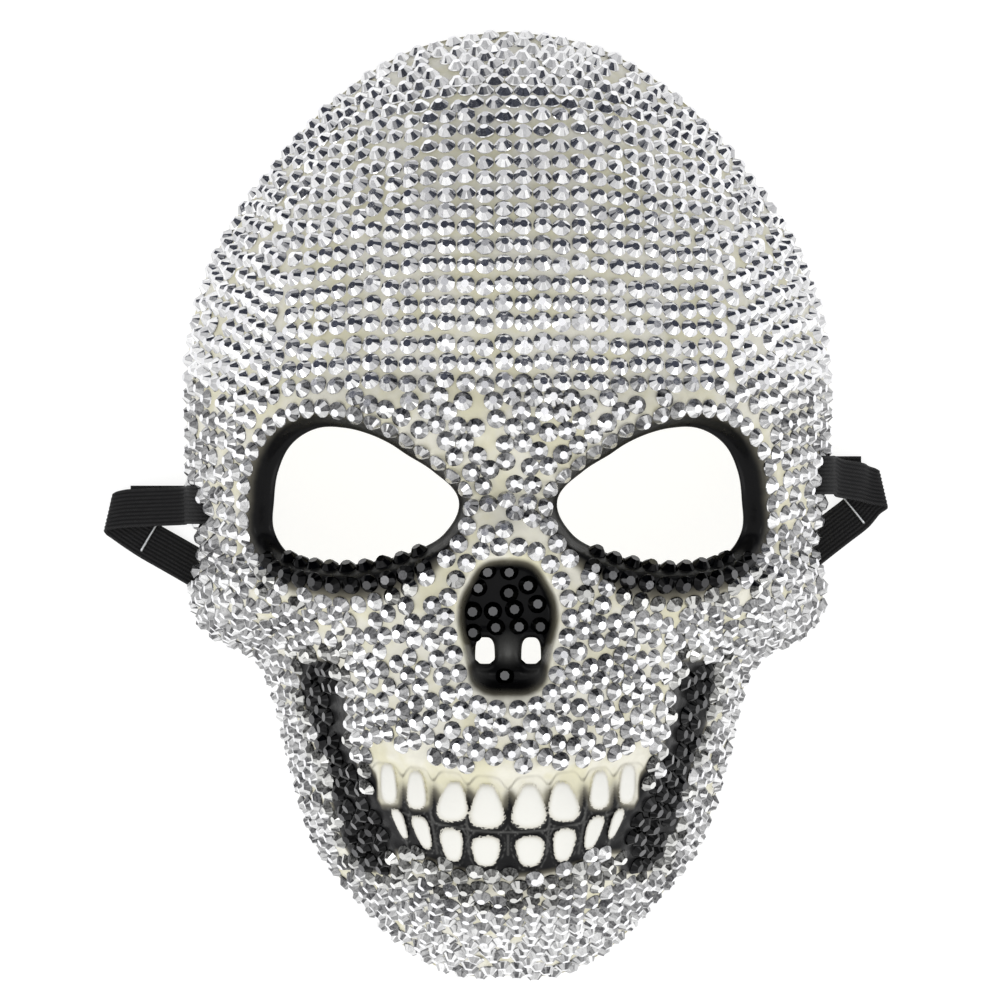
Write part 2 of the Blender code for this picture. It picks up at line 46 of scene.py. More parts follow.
# The bare moulding, with the same sizes as the solid model
mask = {
    "width": 0.1664, "length": 0.2466, "depth": 0.0780, "wall": 0.0018, "rimArch": 0.0170,
    "eyeX": 0.0380, "eyeY": 0.0005, "eyeWidth": 0.0472, "socketDepth": 0.0070,
    "noseWidth": 0.0254, "noseDepth": 0.0085,
    "nostrilWidth": 0.0048, "nostrilLength": 0.0066, "nostrilX": 0.0058, "nostrilY": -0.0372,
    "toothHeight": 0.0018, "mouthDepth": 0.0014, "grooveDepth": 0.0026,
    "slotLength": 0.0124, "slotHeight": 0.0038, "slotInset": 0.0038,
    "middleX": 0.0031,  # the face's middle line, because the elastic reaches further on the left
}
halfW = mask["width"] * 0.487
halfL = mask["length"] * 0.485
# from the cross line down to the middle of the nose cavity
noseDrop = 1.18 * mask["noseWidth"]

# angle above the cross line in degrees, radius as a share of halfL
outlineRows = (
    (-90, 1.035), (-84, 1.038), (-78, 1.006), (-70, 0.932), (-62, 0.868), (-54, 0.779),
    (-46, 0.704), (-40, 0.665), (-34, 0.646), (-29, 0.661), (-25, 0.703), (-20, 0.725),
    (-15, 0.713), (-9, 0.677), (-3, 0.681), (4, 0.696), (12, 0.711), (20, 0.741),
    (30, 0.788), (42, 0.840), (54, 0.889), (66, 0.955), (78, 1.011), (90, 1.031),
)
# angle from the outer side in degrees, radius as a share of the eye hole's width
eyeRows = (
    (0, 0.458), (20, 0.462), (40, 0.470), (60, 0.445), (80, 0.394), (100, 0.360),
    (120, 0.350), (140, 0.365), (160, 0.438), (180, 0.542), (200, 0.500), (220, 0.412),
    (240, 0.356), (260, 0.336), (280, 0.350), (300, 0.386), (320, 0.466), (340, 0.487),
)
# angle above the cross line, radius as a share of the nose cavity's width
noseRows = (
    (-90, 0.735), (-70, 0.748), (-60, 0.713), (-45, 0.579), (-30, 0.508), (-15, 0.492),
    (0, 0.500), (25, 0.531), (47, 0.567), (64, 0.630), (90, 0.634),
)
# what, x and y, reach in x and in y as shares of halfW and halfL, height as a share of the depth
swellings = (
    ("brow", 0.47, 0.200, 0.30, 0.067, 0.038),
    ("between brows", 0.00, 0.167, 0.17, 0.084, 0.019),
    ("nose root", 0.00, 0.025, 0.11, 0.059, -0.038),
    ("nose bridge", 0.00, -0.067, 0.086, 0.075, 0.041),
    ("cheekbone", 0.62, -0.210, 0.27, 0.067, 0.051),
    ("cheekbone end", 0.89, -0.234, 0.136, 0.067, 0.051),
    ("upper jaw", 0.00, -0.586, 0.444, 0.300, 0.167),
    ("cheek hollow", 0.654, -0.452, 0.148, 0.126, -0.045),
    ("temple", 0.815, 0.351, 0.198, 0.218, -0.026),
    ("chin", 0.00, -0.887, 0.272, 0.109, 0.077),
    ("jaw corner", 0.543, -0.703, 0.17, 0.134, 0.026),
)
# y as a share of halfL, middle and half breadth of the cheek groove as shares of halfW
grooveRows = (
    (-0.78, 0.420, 0.046), (-0.74, 0.436, 0.062), (-0.69, 0.455, 0.068), (-0.62, 0.490, 0.052),
    (-0.56, 0.528, 0.038), (-0.485, 0.562, 0.044), (-0.41, 0.582, 0.052), (-0.35, 0.606, 0.046),
)
# which, middle and half width at the biting end, then at the root, as shares of halfW,
# biting end and root end as shares of halfL
toothRows = (
    ("upper one", 0.0640, 0.0605, 0.0667, 0.0330, -0.6877, -0.5878),
    ("upper two", 0.1774, 0.0545, 0.1650, 0.0310, -0.6740, -0.5836),
    ("upper three", 0.2840, 0.0335, 0.2870, 0.0255, -0.6498, -0.5626),
    ("upper four", 0.3694, 0.0275, 0.3770, 0.0250, -0.6404, -0.5500),
    ("lower one", 0.0683, 0.0497, 0.0683, 0.0370, -0.7003, -0.7718),
    ("lower two", 0.1800, 0.0390, 0.1690, 0.0280, -0.6845, -0.7624),
    ("lower three", 0.2825, 0.0289, 0.2500, 0.0200, -0.6603, -0.7371),
    ("lower four", 0.3539, 0.0196, 0.3197, 0.0140, -0.6477, -0.7160),
)


def curveThrough(x, rows, column=1):
    # smooth curve through the rows of a table
    xs = np.array([row[0] for row in rows], float)
    ys = np.array([row[column] for row in rows], float)
    slope = np.gradient(ys, xs)
    x = np.clip(x, xs[0], xs[-1])
    k = np.clip(np.searchsorted(xs, x, side="right") - 1, 0, len(xs) - 2)
    h = xs[k + 1] - xs[k]
    t = (x - xs[k]) / h
    a = (2 * t**3 - 3 * t**2 + 1) * ys[k] + (3 * t**2 - 2 * t**3) * ys[k + 1]
    return a + h * ((t**3 - 2 * t**2 + t) * slope[k] + (t**3 - t**2) * slope[k + 1])


def ease(t):
    t = np.clip(t, 0.0, 1.0)
    return t * t * (3 - 2 * t)


def unit(t):
    return np.clip(t, 0, 1)


def hump(distance, width):
    return np.exp(-(distance / width) ** 2)


def outlineRadius(x, y):
    return halfL * curveThrough(np.degrees(np.arctan2(y, np.abs(x))), outlineRows)


def outlineShare(x, y):
    return np.hypot(x, y) / outlineRadius(x, y)


def rimHeight(y):
    t = np.clip((y / halfL - 0.27) / 0.55, -1, 1)
    return mask["rimArch"] * (1 - t * t) ** 1.5 - 0.001


def eyeRadius(angle):
    before = tuple((a - 360, r) for a, r in eyeRows[-2:])
    after = tuple((a + 360, r) for a, r in eyeRows[:3])
    return mask["eyeWidth"] * curveThrough(angle % 360, before + eyeRows + after)


def eyeAngle(x, y):
    return np.degrees(np.arctan2(y - mask["eyeY"], np.abs(x) - mask["eyeX"]))


def eyeAway(x, y):
    # distance out from the edge of the eye hole
    angle = eyeAngle(x, y)
    return np.hypot(np.abs(x) - mask["eyeX"], y - mask["eyeY"]) - eyeRadius(angle)


def roundEye(side, angle, out):
    # points this far out from the edge of an eye hole
    r = eyeRadius(angle) + out
    x = side * (mask["eyeX"] + r * np.cos(np.radians(angle)))
    return x, mask["eyeY"] + r * np.sin(np.radians(angle))


def socketBreadth(angle):
    outer = unit(np.cos(np.radians(angle - 15))) ** 2
    lower = unit(-np.sin(np.radians(angle))) ** 2
    return mask["eyeWidth"] * (0.075 + 0.075 * outer + 0.01 * lower)


def socket(x, y):
    return 1 - ease(eyeAway(x, y) / socketBreadth(eyeAngle(x, y)))


def noseRadius(angle):
    return mask["noseWidth"] * curveThrough(angle, noseRows)


def noseReach(x, y):
    # distance from the middle of the nose cavity, and how far the cavity goes that way
    dy = y + noseDrop
    angle = np.degrees(np.arctan2(dy, np.abs(x)))
    return np.hypot(x, dy), noseRadius(angle)


def noseAway(x, y):
    away, reach = noseReach(x, y)
    return away - reach


def noseFloor(x, y):
    away, reach = noseReach(x, y)
    inside = 1 - ease((away / reach - 0.80) / 0.24)
    u = x / mask["noseWidth"]
    v = y / mask["noseWidth"]
    ridge = np.exp(-(u / 0.10) ** 2 - ((v + 1.48) / 0.13) ** 2)
    hollow = np.exp(-(u / 0.17) ** 4 - ((v + 1.72) / 0.10) ** 4)
    slope = 0.72 + 0.28 * ease((-v - 0.62) / 0.5)
    return inside * (mask["noseDepth"] * slope - 0.0032 * ridge + 0.0016 * hollow)


def groove(x, y):
    share = y / halfL
    centre = halfW * curveThrough(share, grooveRows, 1)
    half = halfW * curveThrough(share, grooveRows, 2)
    ends = ease((share + 0.80) / 0.05) * ease((-0.325 - share) / 0.05)
    across = np.abs(np.abs(x) - centre) / half
    return ends * (1 - ease((across - 0.45) / 0.9))


def mouth(x, y):
    # the sunk band that carries both rows of teeth
    u = np.abs(x) / halfW
    v = y / halfL
    top = -0.575 + 0.06 * u
    low = -0.790 + 0.52 * u**2
    band = ease((top + 0.02 - v) / 0.03) * ease((v - low + 0.02) / 0.03)
    return band * (1 - ease((u - 0.40) / 0.05))


def toothField(x, y):
    # one in the middle of a tooth, nought at its edge, less outside
    u = np.abs(x) / halfW
    v = y / halfL
    best = np.full(np.shape(u), -3.0)
    for name, biteAt, biteHalf, rootAt, rootHalf, bite, root in toothRows:
        t = (v - bite) / (root - bite)
        grow = ease((t - 0.18) / 0.82)
        a = (u - biteAt - (rootAt - biteAt) * t) / (biteHalf + (rootHalf - biteHalf) * grow)
        b = 2 * t - 1
        best = np.maximum(best, 1 - np.abs(a) ** 2.8 - np.abs(b) ** 3.0)
    return best


def outerHeight(x, y, withTeeth=True):
    share = outlineShare(x, y)
    power = 2.7 - 0.3 * np.sin(np.arctan2(y, np.abs(x)))
    keep = 0.93
    edge = np.sqrt(1 - keep**power)
    inside = np.sqrt(unit(1 - unit(keep * share) ** power))
    dome = (inside - edge) / (1 - edge)
    rim = rimHeight(y)
    z = rim + (mask["depth"] - rim) * dome
    relief = np.zeros_like(z)
    for name, cx, cy, rx, ry, height in swellings:
        a = (np.abs(x) / halfW - cx) / rx
        b = (y / halfL - cy) / ry
        relief = relief + mask["depth"] * height * np.exp(-a * a - b * b)
    relief = relief * (1 - unit(share) ** 8)
    z = z + relief - mask["socketDepth"] * socket(x, y) - noseFloor(x, y)
    z = z - mask["grooveDepth"] * groove(x, y) - mask["mouthDepth"] * mouth(x, y)
    if withTeeth:
        z = z + mask["toothHeight"] * unit(toothField(x, y)) ** 0.5
    return z


def innerHeight(x, y):
    # the outer surface moved inwards by the wall
    low = outerHeight(x, y, False) - mask["wall"]
    for ring in (0.5, 0.8, 1.0):
        drop = mask["wall"] * math.sqrt(1 - ring * ring)
        for k in range(12):
            a = 2 * math.pi * (k + 0.5 * (ring == 0.8)) / 12
            px = x + ring * mask["wall"] * math.cos(a)
            py = y + ring * mask["wall"] * math.sin(a)
            low = np.minimum(low, outerHeight(px, py, False) - drop)
    return low


def outerNormals(x, y):
    h = 0.0006
    zx = (outerHeight(x + h, y, False) - outerHeight(x - h, y, False)) / (2 * h)
    zy = (outerHeight(x, y + h, False) - outerHeight(x, y - h, False)) / (2 * h)
    n = np.stack([-zx, -zy, np.ones_like(zx)], 1)
    return n / np.linalg.norm(n, axis=1)[:, None]


def addMesh(name, verts, faces, smooth=True):
    mesh = bpy.data.meshes.new(name)
    mesh.from_pydata([tuple(v) for v in verts], [], faces)
    mesh.update()
    mesh.polygons.foreach_set("use_smooth", [smooth] * len(mesh.polygons))
    thing = bpy.data.objects.new(name, mesh)
    bpy.context.scene.collection.objects.link(thing)
    return thing


def faceOutwards(thing):
    # returns how many edges aren't closed
    bm = bmesh.new()
    bm.from_mesh(thing.data)
    bmesh.ops.recalc_face_normals(bm, faces=bm.faces)
    bm.to_mesh(thing.data)
    loose = sum(1 for edge in bm.edges if not edge.is_manifold)
    bm.free()
    return loose


def tubeFaces(rows, around):
    # a closed tube from rings of points
    faces = [tuple(range(around))]
    for k in range(rows - 1):
        for c in range(around):
            d = (c + 1) % around
            faces.append((around * k + c, around * (k + 1) + c, around * (k + 1) + d, around * k + d))
    faces.append(tuple(around * (rows - 1) + c for c in range(around))[::-1])
    return faces


def lengthAlong(line):
    return np.concatenate([[0], np.cumsum(np.linalg.norm(np.diff(line, axis=0), axis=1))])


def storeValues(thing, name, values, kind="FLOAT", key="value"):
    layer = thing.data.attributes.new(name, kind, "POINT")
    layer.data.foreach_set(key, np.asarray(values, np.float32).ravel())


def setInputs(tree, node, values):
    # each value is a constant, a colour or another node's output
    for key, value in values.items():
        entry = node.inputs[key]
        if isinstance(value, bpy.types.NodeSocket):
            tree.links.new(value, entry)
        elif entry.type == "RGBA":
            entry.default_value = (*value, 1)
        else:
            entry.default_value = value


def putNode(tree, kind, values=None, **settings):
    node = tree.nodes.new(kind)
    for key, value in settings.items():
        setattr(node, key, value)
    setInputs(tree, node, values or {})
    return node


def mathNode(tree, operation, *values):
    return putNode(tree, "ShaderNodeMath", dict(enumerate(values)), operation=operation).outputs[0]


def times(tree, a, b, more=0.0):
    return mathNode(tree, "MULTIPLY_ADD", a, b, more)


def mixColours(tree, factor, first, second):
    return putNode(tree, "ShaderNodeMix", {0: factor, 6: first, 7: second}, data_type="RGBA").outputs[2]


def mapRange(tree, value, low, high, toLow=0.0, toHigh=1.0, smooth=True):
    values = {"Value": value, "From Min": low, "From Max": high, "To Min": toLow, "To Max": toHigh}
    kind = "SMOOTHSTEP" if smooth else "LINEAR"
    return putNode(tree, "ShaderNodeMapRange", values, interpolation_type=kind).outputs["Result"]


def readValue(tree, name, output="Fac"):
    return putNode(tree, "ShaderNodeAttribute", attribute_name=name).outputs[output]


def makeGrain():
    # fine uneven grain, a mask between nought and one, with a bump height beside it
    group = bpy.data.node_groups.new("fineGrain", "ShaderNodeTree")
    for label, value in (("Size", 900.0), ("Detail", 4.0), ("Low", 0.35), ("High", 0.65)):
        item = group.interface.new_socket(name=label, in_out="INPUT", socket_type="NodeSocketFloat")
        item.default_value = value
    for label in ("Mask", "Height"):
        group.interface.new_socket(name=label, in_out="OUTPUT", socket_type="NodeSocketFloat")
    start = group.nodes.new("NodeGroupInput").outputs
    place = putNode(group, "ShaderNodeTexCoord").outputs["Object"]
    noise = {"Vector": place, "Scale": start["Size"], "Detail": start["Detail"]}
    height = putNode(group, "ShaderNodeTexNoise", noise).outputs["Fac"]
    cover = mapRange(group, height, start["Low"], start["High"])
    putNode(group, "NodeGroupOutput", {"Mask": cover, "Height": height})
    return group


grainGroup = makeGrain()


def placeGrain(tree, size, detail=4.0, low=0.35, high=0.65):
    values = {"Size": size, "Detail": detail, "Low": low, "High": high}
    return putNode(tree, "ShaderNodeGroup", values, node_tree=grainGroup).outputs


def newMaterial(name):
    slot = bpy.data.materials.new(name)
    slot.use_nodes = True
    return slot, slot.node_tree, slot.node_tree.nodes["Principled BSDF"]


shellLook = {
    "fineGrain": (420.0, 5.0, 0.38, 0.62), "broadGrain": (90.0, 3.0, 0.40, 0.62),
    "flakeGrain": (1300.0, 3.0), "spatter": 0.5, "bump": 0.35, "bumpDepth": 0.0004,
    "cream": (0.80, 0.78, 0.68), "glue": (0.65, 0.61, 0.35), "glueShare": 0.5,
    "dust": (0.55, 0.53, 0.46), "dustShare": 0.12, "ink": (0.005, 0.005, 0.0055),
    "thinInk": (0.20, 0.185, 0.14), "thinFromTo": (0.02, 0.40), "inkFromTo": (0.08, 0.82),
    # the ridge grey is the colour of the painted highlights on the raised lines round the teeth and on the
    # nose's bridge and plates
    "ridge": (0.13, 0.13, 0.125), "ridgeHighlightShare": 0.9, "toothFromTo": (0.04, 0.20),
    # the tooth colours: the darker brown goes to each tooth's edges, partly brown airbrush near the roots,
    # partly painted shade
    "tooth": (0.79, 0.785, 0.74), "toothShadeAndBrown": (0.55, 0.52, 0.43), "toothShadeAndBrownShare": 0.62,
    "toothShadeAndBrownFromTo": (0.72, 0.05),
    "specular": 0.07, "coat": 0.25, "coatLostToInk": 0.20, "coatRough": 0.12,
    "roughLow": 0.24, "roughHigh": 0.42,
}


def dressShell():
    slot, tree, shader = newMaterial("paintedShell")
    look = shellLook
    fine = placeGrain(tree, *look["fineGrain"])
    broad = placeGrain(tree, *look["broadGrain"])
    base = mixColours(tree, times(tree, broad["Mask"], look["glueShare"]), look["cream"], look["glue"])
    base = mixColours(tree, times(tree, fine["Mask"], look["dustShare"]), base, look["dust"])
    # airbrushed ink, its edge broken up by fine spatter
    ink = readValue(tree, "ink")
    edge = times(tree, ink, times(tree, ink, -1.0, 1.0))
    spatter = times(tree, fine["Height"], look["spatter"], -look["spatter"] / 2)
    ragged = times(tree, spatter, edge, ink)
    base = mixColours(tree, mapRange(tree, ragged, *look["thinFromTo"]), base, look["thinInk"])
    inked = mapRange(tree, ragged, *look["inkFromTo"])
    painted = mixColours(tree, inked, base, look["ink"])
    # painted highlights along the raised lines round the teeth and on the nose's bridge and plates
    ridge = times(tree, readValue(tree, "ridge"), look["ridgeHighlightShare"])
    painted = mixColours(tree, ridge, painted, look["ridge"])
    # teeth with ragged paint at their edges
    tooth = readValue(tree, "tooth")
    flake = placeGrain(tree, *look["flakeGrain"])
    ragged = times(tree, times(tree, flake["Height"], 1.0, -0.50), 1.0, tooth)
    # each tooth turns darker and browner towards its edges: the brown airbrush near the roots, and painted
    # shade where the rounded tooth turns away
    shade = times(tree, mapRange(tree, tooth, *look["toothShadeAndBrownFromTo"]), look["toothShadeAndBrownShare"])
    enamelShadeAndBrown = mixColours(tree, shade, look["tooth"], look["toothShadeAndBrown"])
    painted = mixColours(tree, mapRange(tree, ragged, *look["toothFromTo"]), painted, enamelShadeAndBrown)
    rough = mapRange(tree, fine["Height"], 0.3, 0.7, look["roughLow"], look["roughHigh"], smooth=False)
    bump = {"Strength": look["bump"], "Distance": look["bumpDepth"], "Height": fine["Height"]}
    setInputs(tree, shader, {
        "Base Color": painted, "Roughness": rough, "Specular IOR Level": look["specular"],
        "Coat Weight": times(tree, inked, -look["coatLostToInk"], look["coat"]),
        "Coat Roughness": look["coatRough"],
        "Normal": putNode(tree, "ShaderNodeBump", bump).outputs["Normal"],
    })
    return slot


def cellShare(x):
    # how far across its tooth cell a place is, from the viewer's left
    s = x / halfW
    borders = np.array((-0.435, -0.329, -0.233, -0.126, 0.0, 0.126, 0.233, 0.329, 0.435))
    k = np.clip(np.searchsorted(borders, s) - 1, 0, len(borders) - 2)
    return unit((s - borders[k]) / (borders[k + 1] - borders[k]))


def inkOf(x, y):
    # darkness of the airbrushed ink, nought on bare plastic and one inside the holes
    angle = eyeAngle(x, y)
    away = eyeAway(x, y)
    outer = unit(np.cos(np.radians(angle - 10))) ** 2
    lower = unit(-np.sin(np.radians(angle)))
    reach = 0.0036 + 0.0058 * outer + 0.0072 * lower
    ink = 1 - ease(away / reach - 0.18)
    nose = 1 - ease((noseAway(x, y) + 0.0038) / 0.0050)
    ink = np.maximum(ink, nose)
    u = np.abs(x) / halfW
    v = y / halfL
    within = halfW * (curveThrough(v, grooveRows, 2) - np.abs(u - curveThrough(v, grooveRows, 1)))
    ends = ease((v + 0.801) / 0.014) * ease((-0.322 - v) / 0.030)
    ink = np.maximum(ink, ease((within + 0.0026) / 0.0020) * ends)
    # black paint round the teeth; above their crowns it stays on the flanks and thins out to brown
    t = cellShare(x)
    border = np.maximum(hump(t, 0.16), hump(1 - t, 0.16))
    flank = np.maximum(hump(t, 0.20), 0.55 * hump(1 - t, 0.12))
    crown = 1 - ease((v + 0.668) / 0.036)
    strength = crown + (1 - crown) * (0.14 + 0.86 * flank * (1 - ease((v + 0.655) / 0.075)))
    strength = np.maximum(strength, ease((u - 0.402) / 0.016))
    gum = ease((toothField(x, y) + 0.85) / 0.75) * strength * (1 - ease((v + 0.625) / 0.030))
    ink = np.maximum(ink, gum)
    low = -0.806 + 0.50 * np.minimum(u, 0.30) ** 2
    side = 1 - ease((u - 0.45) / 0.03)
    band = ease((-0.586 + 0.018 * border + 0.06 * u - v) / 0.046) * strength
    band = band * ease((v - low) / 0.036) * side
    haze = 0.17 * ease((-0.60 - v) / 0.03) * ease((v + 0.890 - 0.5 * u**2) / 0.07) * side
    arch = 0.30 * hump(v + 0.578 + 0.022 * border - 0.07 * u, 0.0055)
    arch = arch * (0.45 + 0.55 * flank) * side
    ink = np.maximum(np.maximum(ink, band), np.maximum(haze, arch))
    bite = hump(v + 0.690 - 0.20 * u**2, 0.010) * (1 - ease((u - 0.42) / 0.06))
    return unit(np.maximum(ink, bite))


def ridgeAndHighlightOf(x, y):
    # thin raised lines that part the teeth's cells, each with a painted highlight along it
    u = np.abs(x) / halfW
    v = y / halfL
    lineWide = 0.00026
    upright = (v < -0.60 - 0.10 * (u < 0.03)) & (v > -0.745)
    lines = [np.where(upright, np.abs(u - at - 0.10 * at * (v + 0.69) / 0.1) * halfW, 1.0)
             for at in (0.0, 0.126, 0.233, 0.329)]
    biteLine = -0.694 + 0.34 * u**2
    lines.append(np.where(u < 0.38, np.abs(v - biteLine) * halfL, 1.0))
    near = np.minimum.reduce(lines)
    inked = ease((inkOf(x, y) - 0.35) / 0.3)
    ring = hump(toothField(x, y) + 0.80, 0.10)
    teeth = unit(0.55 * hump(near, lineWide) + 0.6 * ring) * mouth(x, y)
    # painted highlights on the bridge between the nostrils and on the plates below them
    down = y - mask["nostrilY"]
    bridge = 0.9 * np.exp(-(x / 0.0026) ** 2 - ((down - 0.0006) / 0.0030) ** 2)
    plate = 0.5 * np.exp(-((np.abs(x) - 0.0084) / 0.0024) ** 2 - ((down + 0.0066) / 0.0026) ** 2)
    return unit(teeth * inked + bridge + plate)


def gridPoints(x0, x1, y0, y1, step):
    xs = np.arange(x0, x1 + step / 2, step)
    ys = np.arange(y0, y1 + step / 2, step)
    gx, gy = np.meshgrid(xs, ys)
    gx = gx + (np.arange(len(ys)) % 2)[:, None] * step / 2
    return np.stack([gx.ravel(), gy.ravel()], 1)


def outlineLoop(count, inset):
    angle = 2 * math.pi * np.arange(count) / count
    r = outlineRadius(np.cos(angle), np.sin(angle)) - inset
    return np.stack([r * np.cos(angle), r * np.sin(angle)], 1)


def eyeLoop(side, count, out):
    return np.stack(roundEye(side, 360 * np.arange(count) / count, out), 1)[::side]


def nostrilLoop(side, count, out):
    a = 2 * math.pi * np.arange(count) / count
    taper = 1 - 0.16 * np.sin(a)
    c = np.sign(np.cos(a)) * np.abs(np.cos(a)) ** 0.6
    s = np.sign(np.sin(a)) * np.abs(np.sin(a)) ** 0.6
    x = side * mask["nostrilX"] + (mask["nostrilWidth"] / 2 + out) * taper * c
    return np.stack([x, mask["nostrilY"] + (mask["nostrilLength"] / 2 + out) * s], 1)


def nostrilAway(x, y):
    # rough distance out from the edge of the nearer nostril
    square = 3.33
    a = np.abs(np.abs(x) - mask["nostrilX"])
    b = np.abs(y - mask["nostrilY"])
    r = (a / (mask["nostrilWidth"] / 2)) ** square + (b / (mask["nostrilLength"] / 2)) ** square
    return (r ** (1 / square) - 1) * mask["nostrilWidth"] / 2


def surfaceSheet(loops, points, clear):
    # triangles over the plan, inside the first loop and outside the other closed ones
    points = points[outlineShare(*points.T) < clear["share"]]
    points = points[eyeAway(*points.T) > clear["eye"]]
    points = points[nostrilAway(*points.T) > clear["nostril"]]
    edges = []
    starts = []
    start = 0
    for loop, closed in loops:
        n = len(loop)
        if closed:
            edges += [(start + k, start + (k + 1) % n) for k in range(n)]
        starts.append(start)
        start += n
    allPoints = [Vector(p) for loop, closed in loops for p in loop] + [Vector(p) for p in points]
    coords, e, faces, origins, oe, of = delaunay_2d_cdt(allPoints, edges, [], 1, 1e-7)
    plan = np.array([tuple(c) for c in coords])
    tris = np.array([tuple(f) for f in faces])
    x, y = plan[tris].mean(axis=1).T
    tris = tris[(eyeAway(x, y) > -0.00002) & (nostrilAway(x, y) > -0.00003)]
    a = plan[tris[:, 1]] - plan[tris[:, 0]]
    b = plan[tris[:, 2]] - plan[tris[:, 0]]
    turned = (a[:, 0] * b[:, 1] - a[:, 1] * b[:, 0]) < 0
    tris[turned] = tris[turned][:, ::-1]
    back = {first: now for now, originals in enumerate(origins) for first in originals}
    loopIds = [[back[start + k] for k in range(len(loop))]
               for start, (loop, closed) in zip(starts, loops)]
    return plan, tris, loopIds


def edgeRound(away, radius):
    # how far a rounded edge has dropped, this far in from the cut
    return radius * (1 - np.sqrt(unit(1 - (1 - unit(away / radius)) ** 2)))


shellGrid = {
    "around": 540, "eyeCount": 168, "nostrilCount": 44, "coarse": 0.0015, "inside": 0.0021,
    "eyeRings": (0.00008, 0.0002, 0.00038, 0.0006, 0.00095, 0.0014, 0.0020),
    "nostrilRings": (0.00008, 0.0002, 0.0004, 0.0007),
    "rimRound": 0.0004, "eyeRound": 0.0006, "nostrilRound": 0.0004, "sharpDegrees": 55,
    "lipHeight": 0.0007, "ridgeHeight": 0.0003,
}
# where the grid is finer: half breadth, lowest and highest y, step
fineZones = ((0.0175, -0.0485, -0.0105, 0.00048), (0.0400, -0.0970, -0.0640, 0.00040))


def inZone(points, zone):
    reach, y0, y1, step = zone
    x, y = points.T
    return (np.abs(x) < reach + 0.0004) & (y > y0 - 0.0004) & (y < y1 + 0.0004)


def outerPoints():
    coarse = gridPoints(-0.085, 0.085, -0.125, 0.125, shellGrid["coarse"])
    keep = (eyeAway(*coarse.T) >= 0.0115) & (groove(*coarse.T) <= 0.001)
    for zone in fineZones:
        keep &= ~inZone(coarse, zone)
    areas = [coarse[keep]]
    for reach, y0, y1, step in fineZones:
        areas.append(gridPoints(-reach, reach, y0, y1, step))
    for side in (-1, 1):
        zone = gridPoints(0.003, 0.070, -0.031, 0.034, 0.00085) * (side, 1)
        areas.append(zone[(eyeAway(*zone.T) < 0.0112) & ~inZone(zone, fineZones[0])])
        zone = gridPoints(0.024, 0.058, -0.1, -0.034, 0.0010) * (side, 1)
        areas.append(zone[(groove(*zone.T) > 0.0012) & ~inZone(zone, fineZones[1])])
    return np.vstack(areas)


def withRings(points, most, inset, count):
    # rings that follow the outline take the place of the grid near it
    around = shellGrid["around"]
    shares = 1 - 0.17 * (np.arange(1, count) / (count - 1)) ** 1.25
    rings = [outlineLoop(around, inset) * s for s in shares]
    return np.vstack([points[outlineShare(*points.T) < most]] + rings)


def wallSheets():
    # the outer and the inner face of the wall
    around = shellGrid["around"]
    wall = mask["wall"] * 1.04
    holes = []
    rings = []
    for side in (-1, 1):
        for make, count, outs in ((eyeLoop, shellGrid["eyeCount"], shellGrid["eyeRings"]),
                                  (nostrilLoop, shellGrid["nostrilCount"], shellGrid["nostrilRings"])):
            holes.append((make(side, count, 0.0), True))
            rings += [(make(side, count, out), False) for out in outs]
    loops = [(outlineLoop(around, 0.0), True)] + holes + rings
    points = withRings(outerPoints(), 0.822, 0.0, 27)
    clear = {"share": 0.9995, "eye": 0.0024, "nostril": 0.0009}
    plan, tris, ids = surfaceSheet(loops, points, clear)
    x, y = plan.T
    z = np.maximum(outerHeight(x, y), np.maximum(rimHeight(y), 0.0))
    z = z - edgeRound(np.maximum(eyeAway(x, y), 0), shellGrid["eyeRound"])
    away = nostrilAway(x, y)
    z = z - edgeRound(np.maximum(away, 0), shellGrid["nostrilRound"])
    lip = hump(away - 0.0009, 0.0006)
    z = z + shellGrid["lipHeight"] * lip + shellGrid["ridgeHeight"] * ridgeAndHighlightOf(x, y)
    z[ids[0]] = np.maximum(rimHeight(y[ids[0]]), 0.0) + shellGrid["rimRound"]
    outer = np.stack([x, y, z], 1)

    loops = [(outlineLoop(around, wall), True)] + holes
    points = gridPoints(-0.083, 0.083, -0.123, 0.123, shellGrid["inside"])
    points = withRings(points, 0.79, wall, 15)
    clear = {"share": 0.995, "eye": 0.0008, "nostril": 0.0006}
    plan, innerTris, innerIds = surfaceSheet(loops, points, clear)
    x, y = plan.T
    z = np.maximum(innerHeight(x, y), np.maximum(rimHeight(y), 0.0) + 0.0003)
    z[innerIds[0]] = np.maximum(rimHeight(y[innerIds[0]]), 0.0)
    return outer, tris, ids, np.stack([x, y, z], 1), innerTris, innerIds


def buildShell():
    outer, tris, ids, inner, innerTris, innerIds = wallSheets()
    verts = [outer, inner]
    below = len(outer)
    count = below + len(inner)
    faces = [tuple(t) for t in tris] + [tuple(int(v) + below for v in t[::-1]) for t in innerTris]

    def strip(first, second):
        n = len(first)
        for k in range(n):
            after = (k + 1) % n
            faces.append((first[k], second[k], second[after], first[after]))

    def addLoop(points):
        nonlocal count
        verts.append(points)
        start = count
        count += len(points)
        return list(range(start, count))

    # rim: the wall's edge, slightly rounded at the outside
    base = outlineLoop(shellGrid["around"], shellGrid["rimRound"])
    low = addLoop(np.column_stack([base, np.maximum(rimHeight(base[:, 1]), 0.0)]))
    strip(ids[0], low)
    strip(low, [below + v for v in innerIds[0]])
    # the wall's thickness round the eye holes and nostrils
    for top, bottom in zip(ids[1:5], innerIds[1:5]):
        previous = top
        for t in (0.33, 0.66):
            now = addLoop(outer[top] * (1 - t) + inner[bottom] * t)
            strip(now, previous)
            previous = now
        strip([below + v for v in bottom], previous)
    allVerts = np.vstack(verts)
    shell = addMesh("shellMoulding", allVerts, faces)
    loose = faceOutwards(shell)
    print("shell points", len(allVerts), "faces", len(faces), "edges not closed", loose)
    cutSlots(shell)
    paintShell(shell)
    return shell


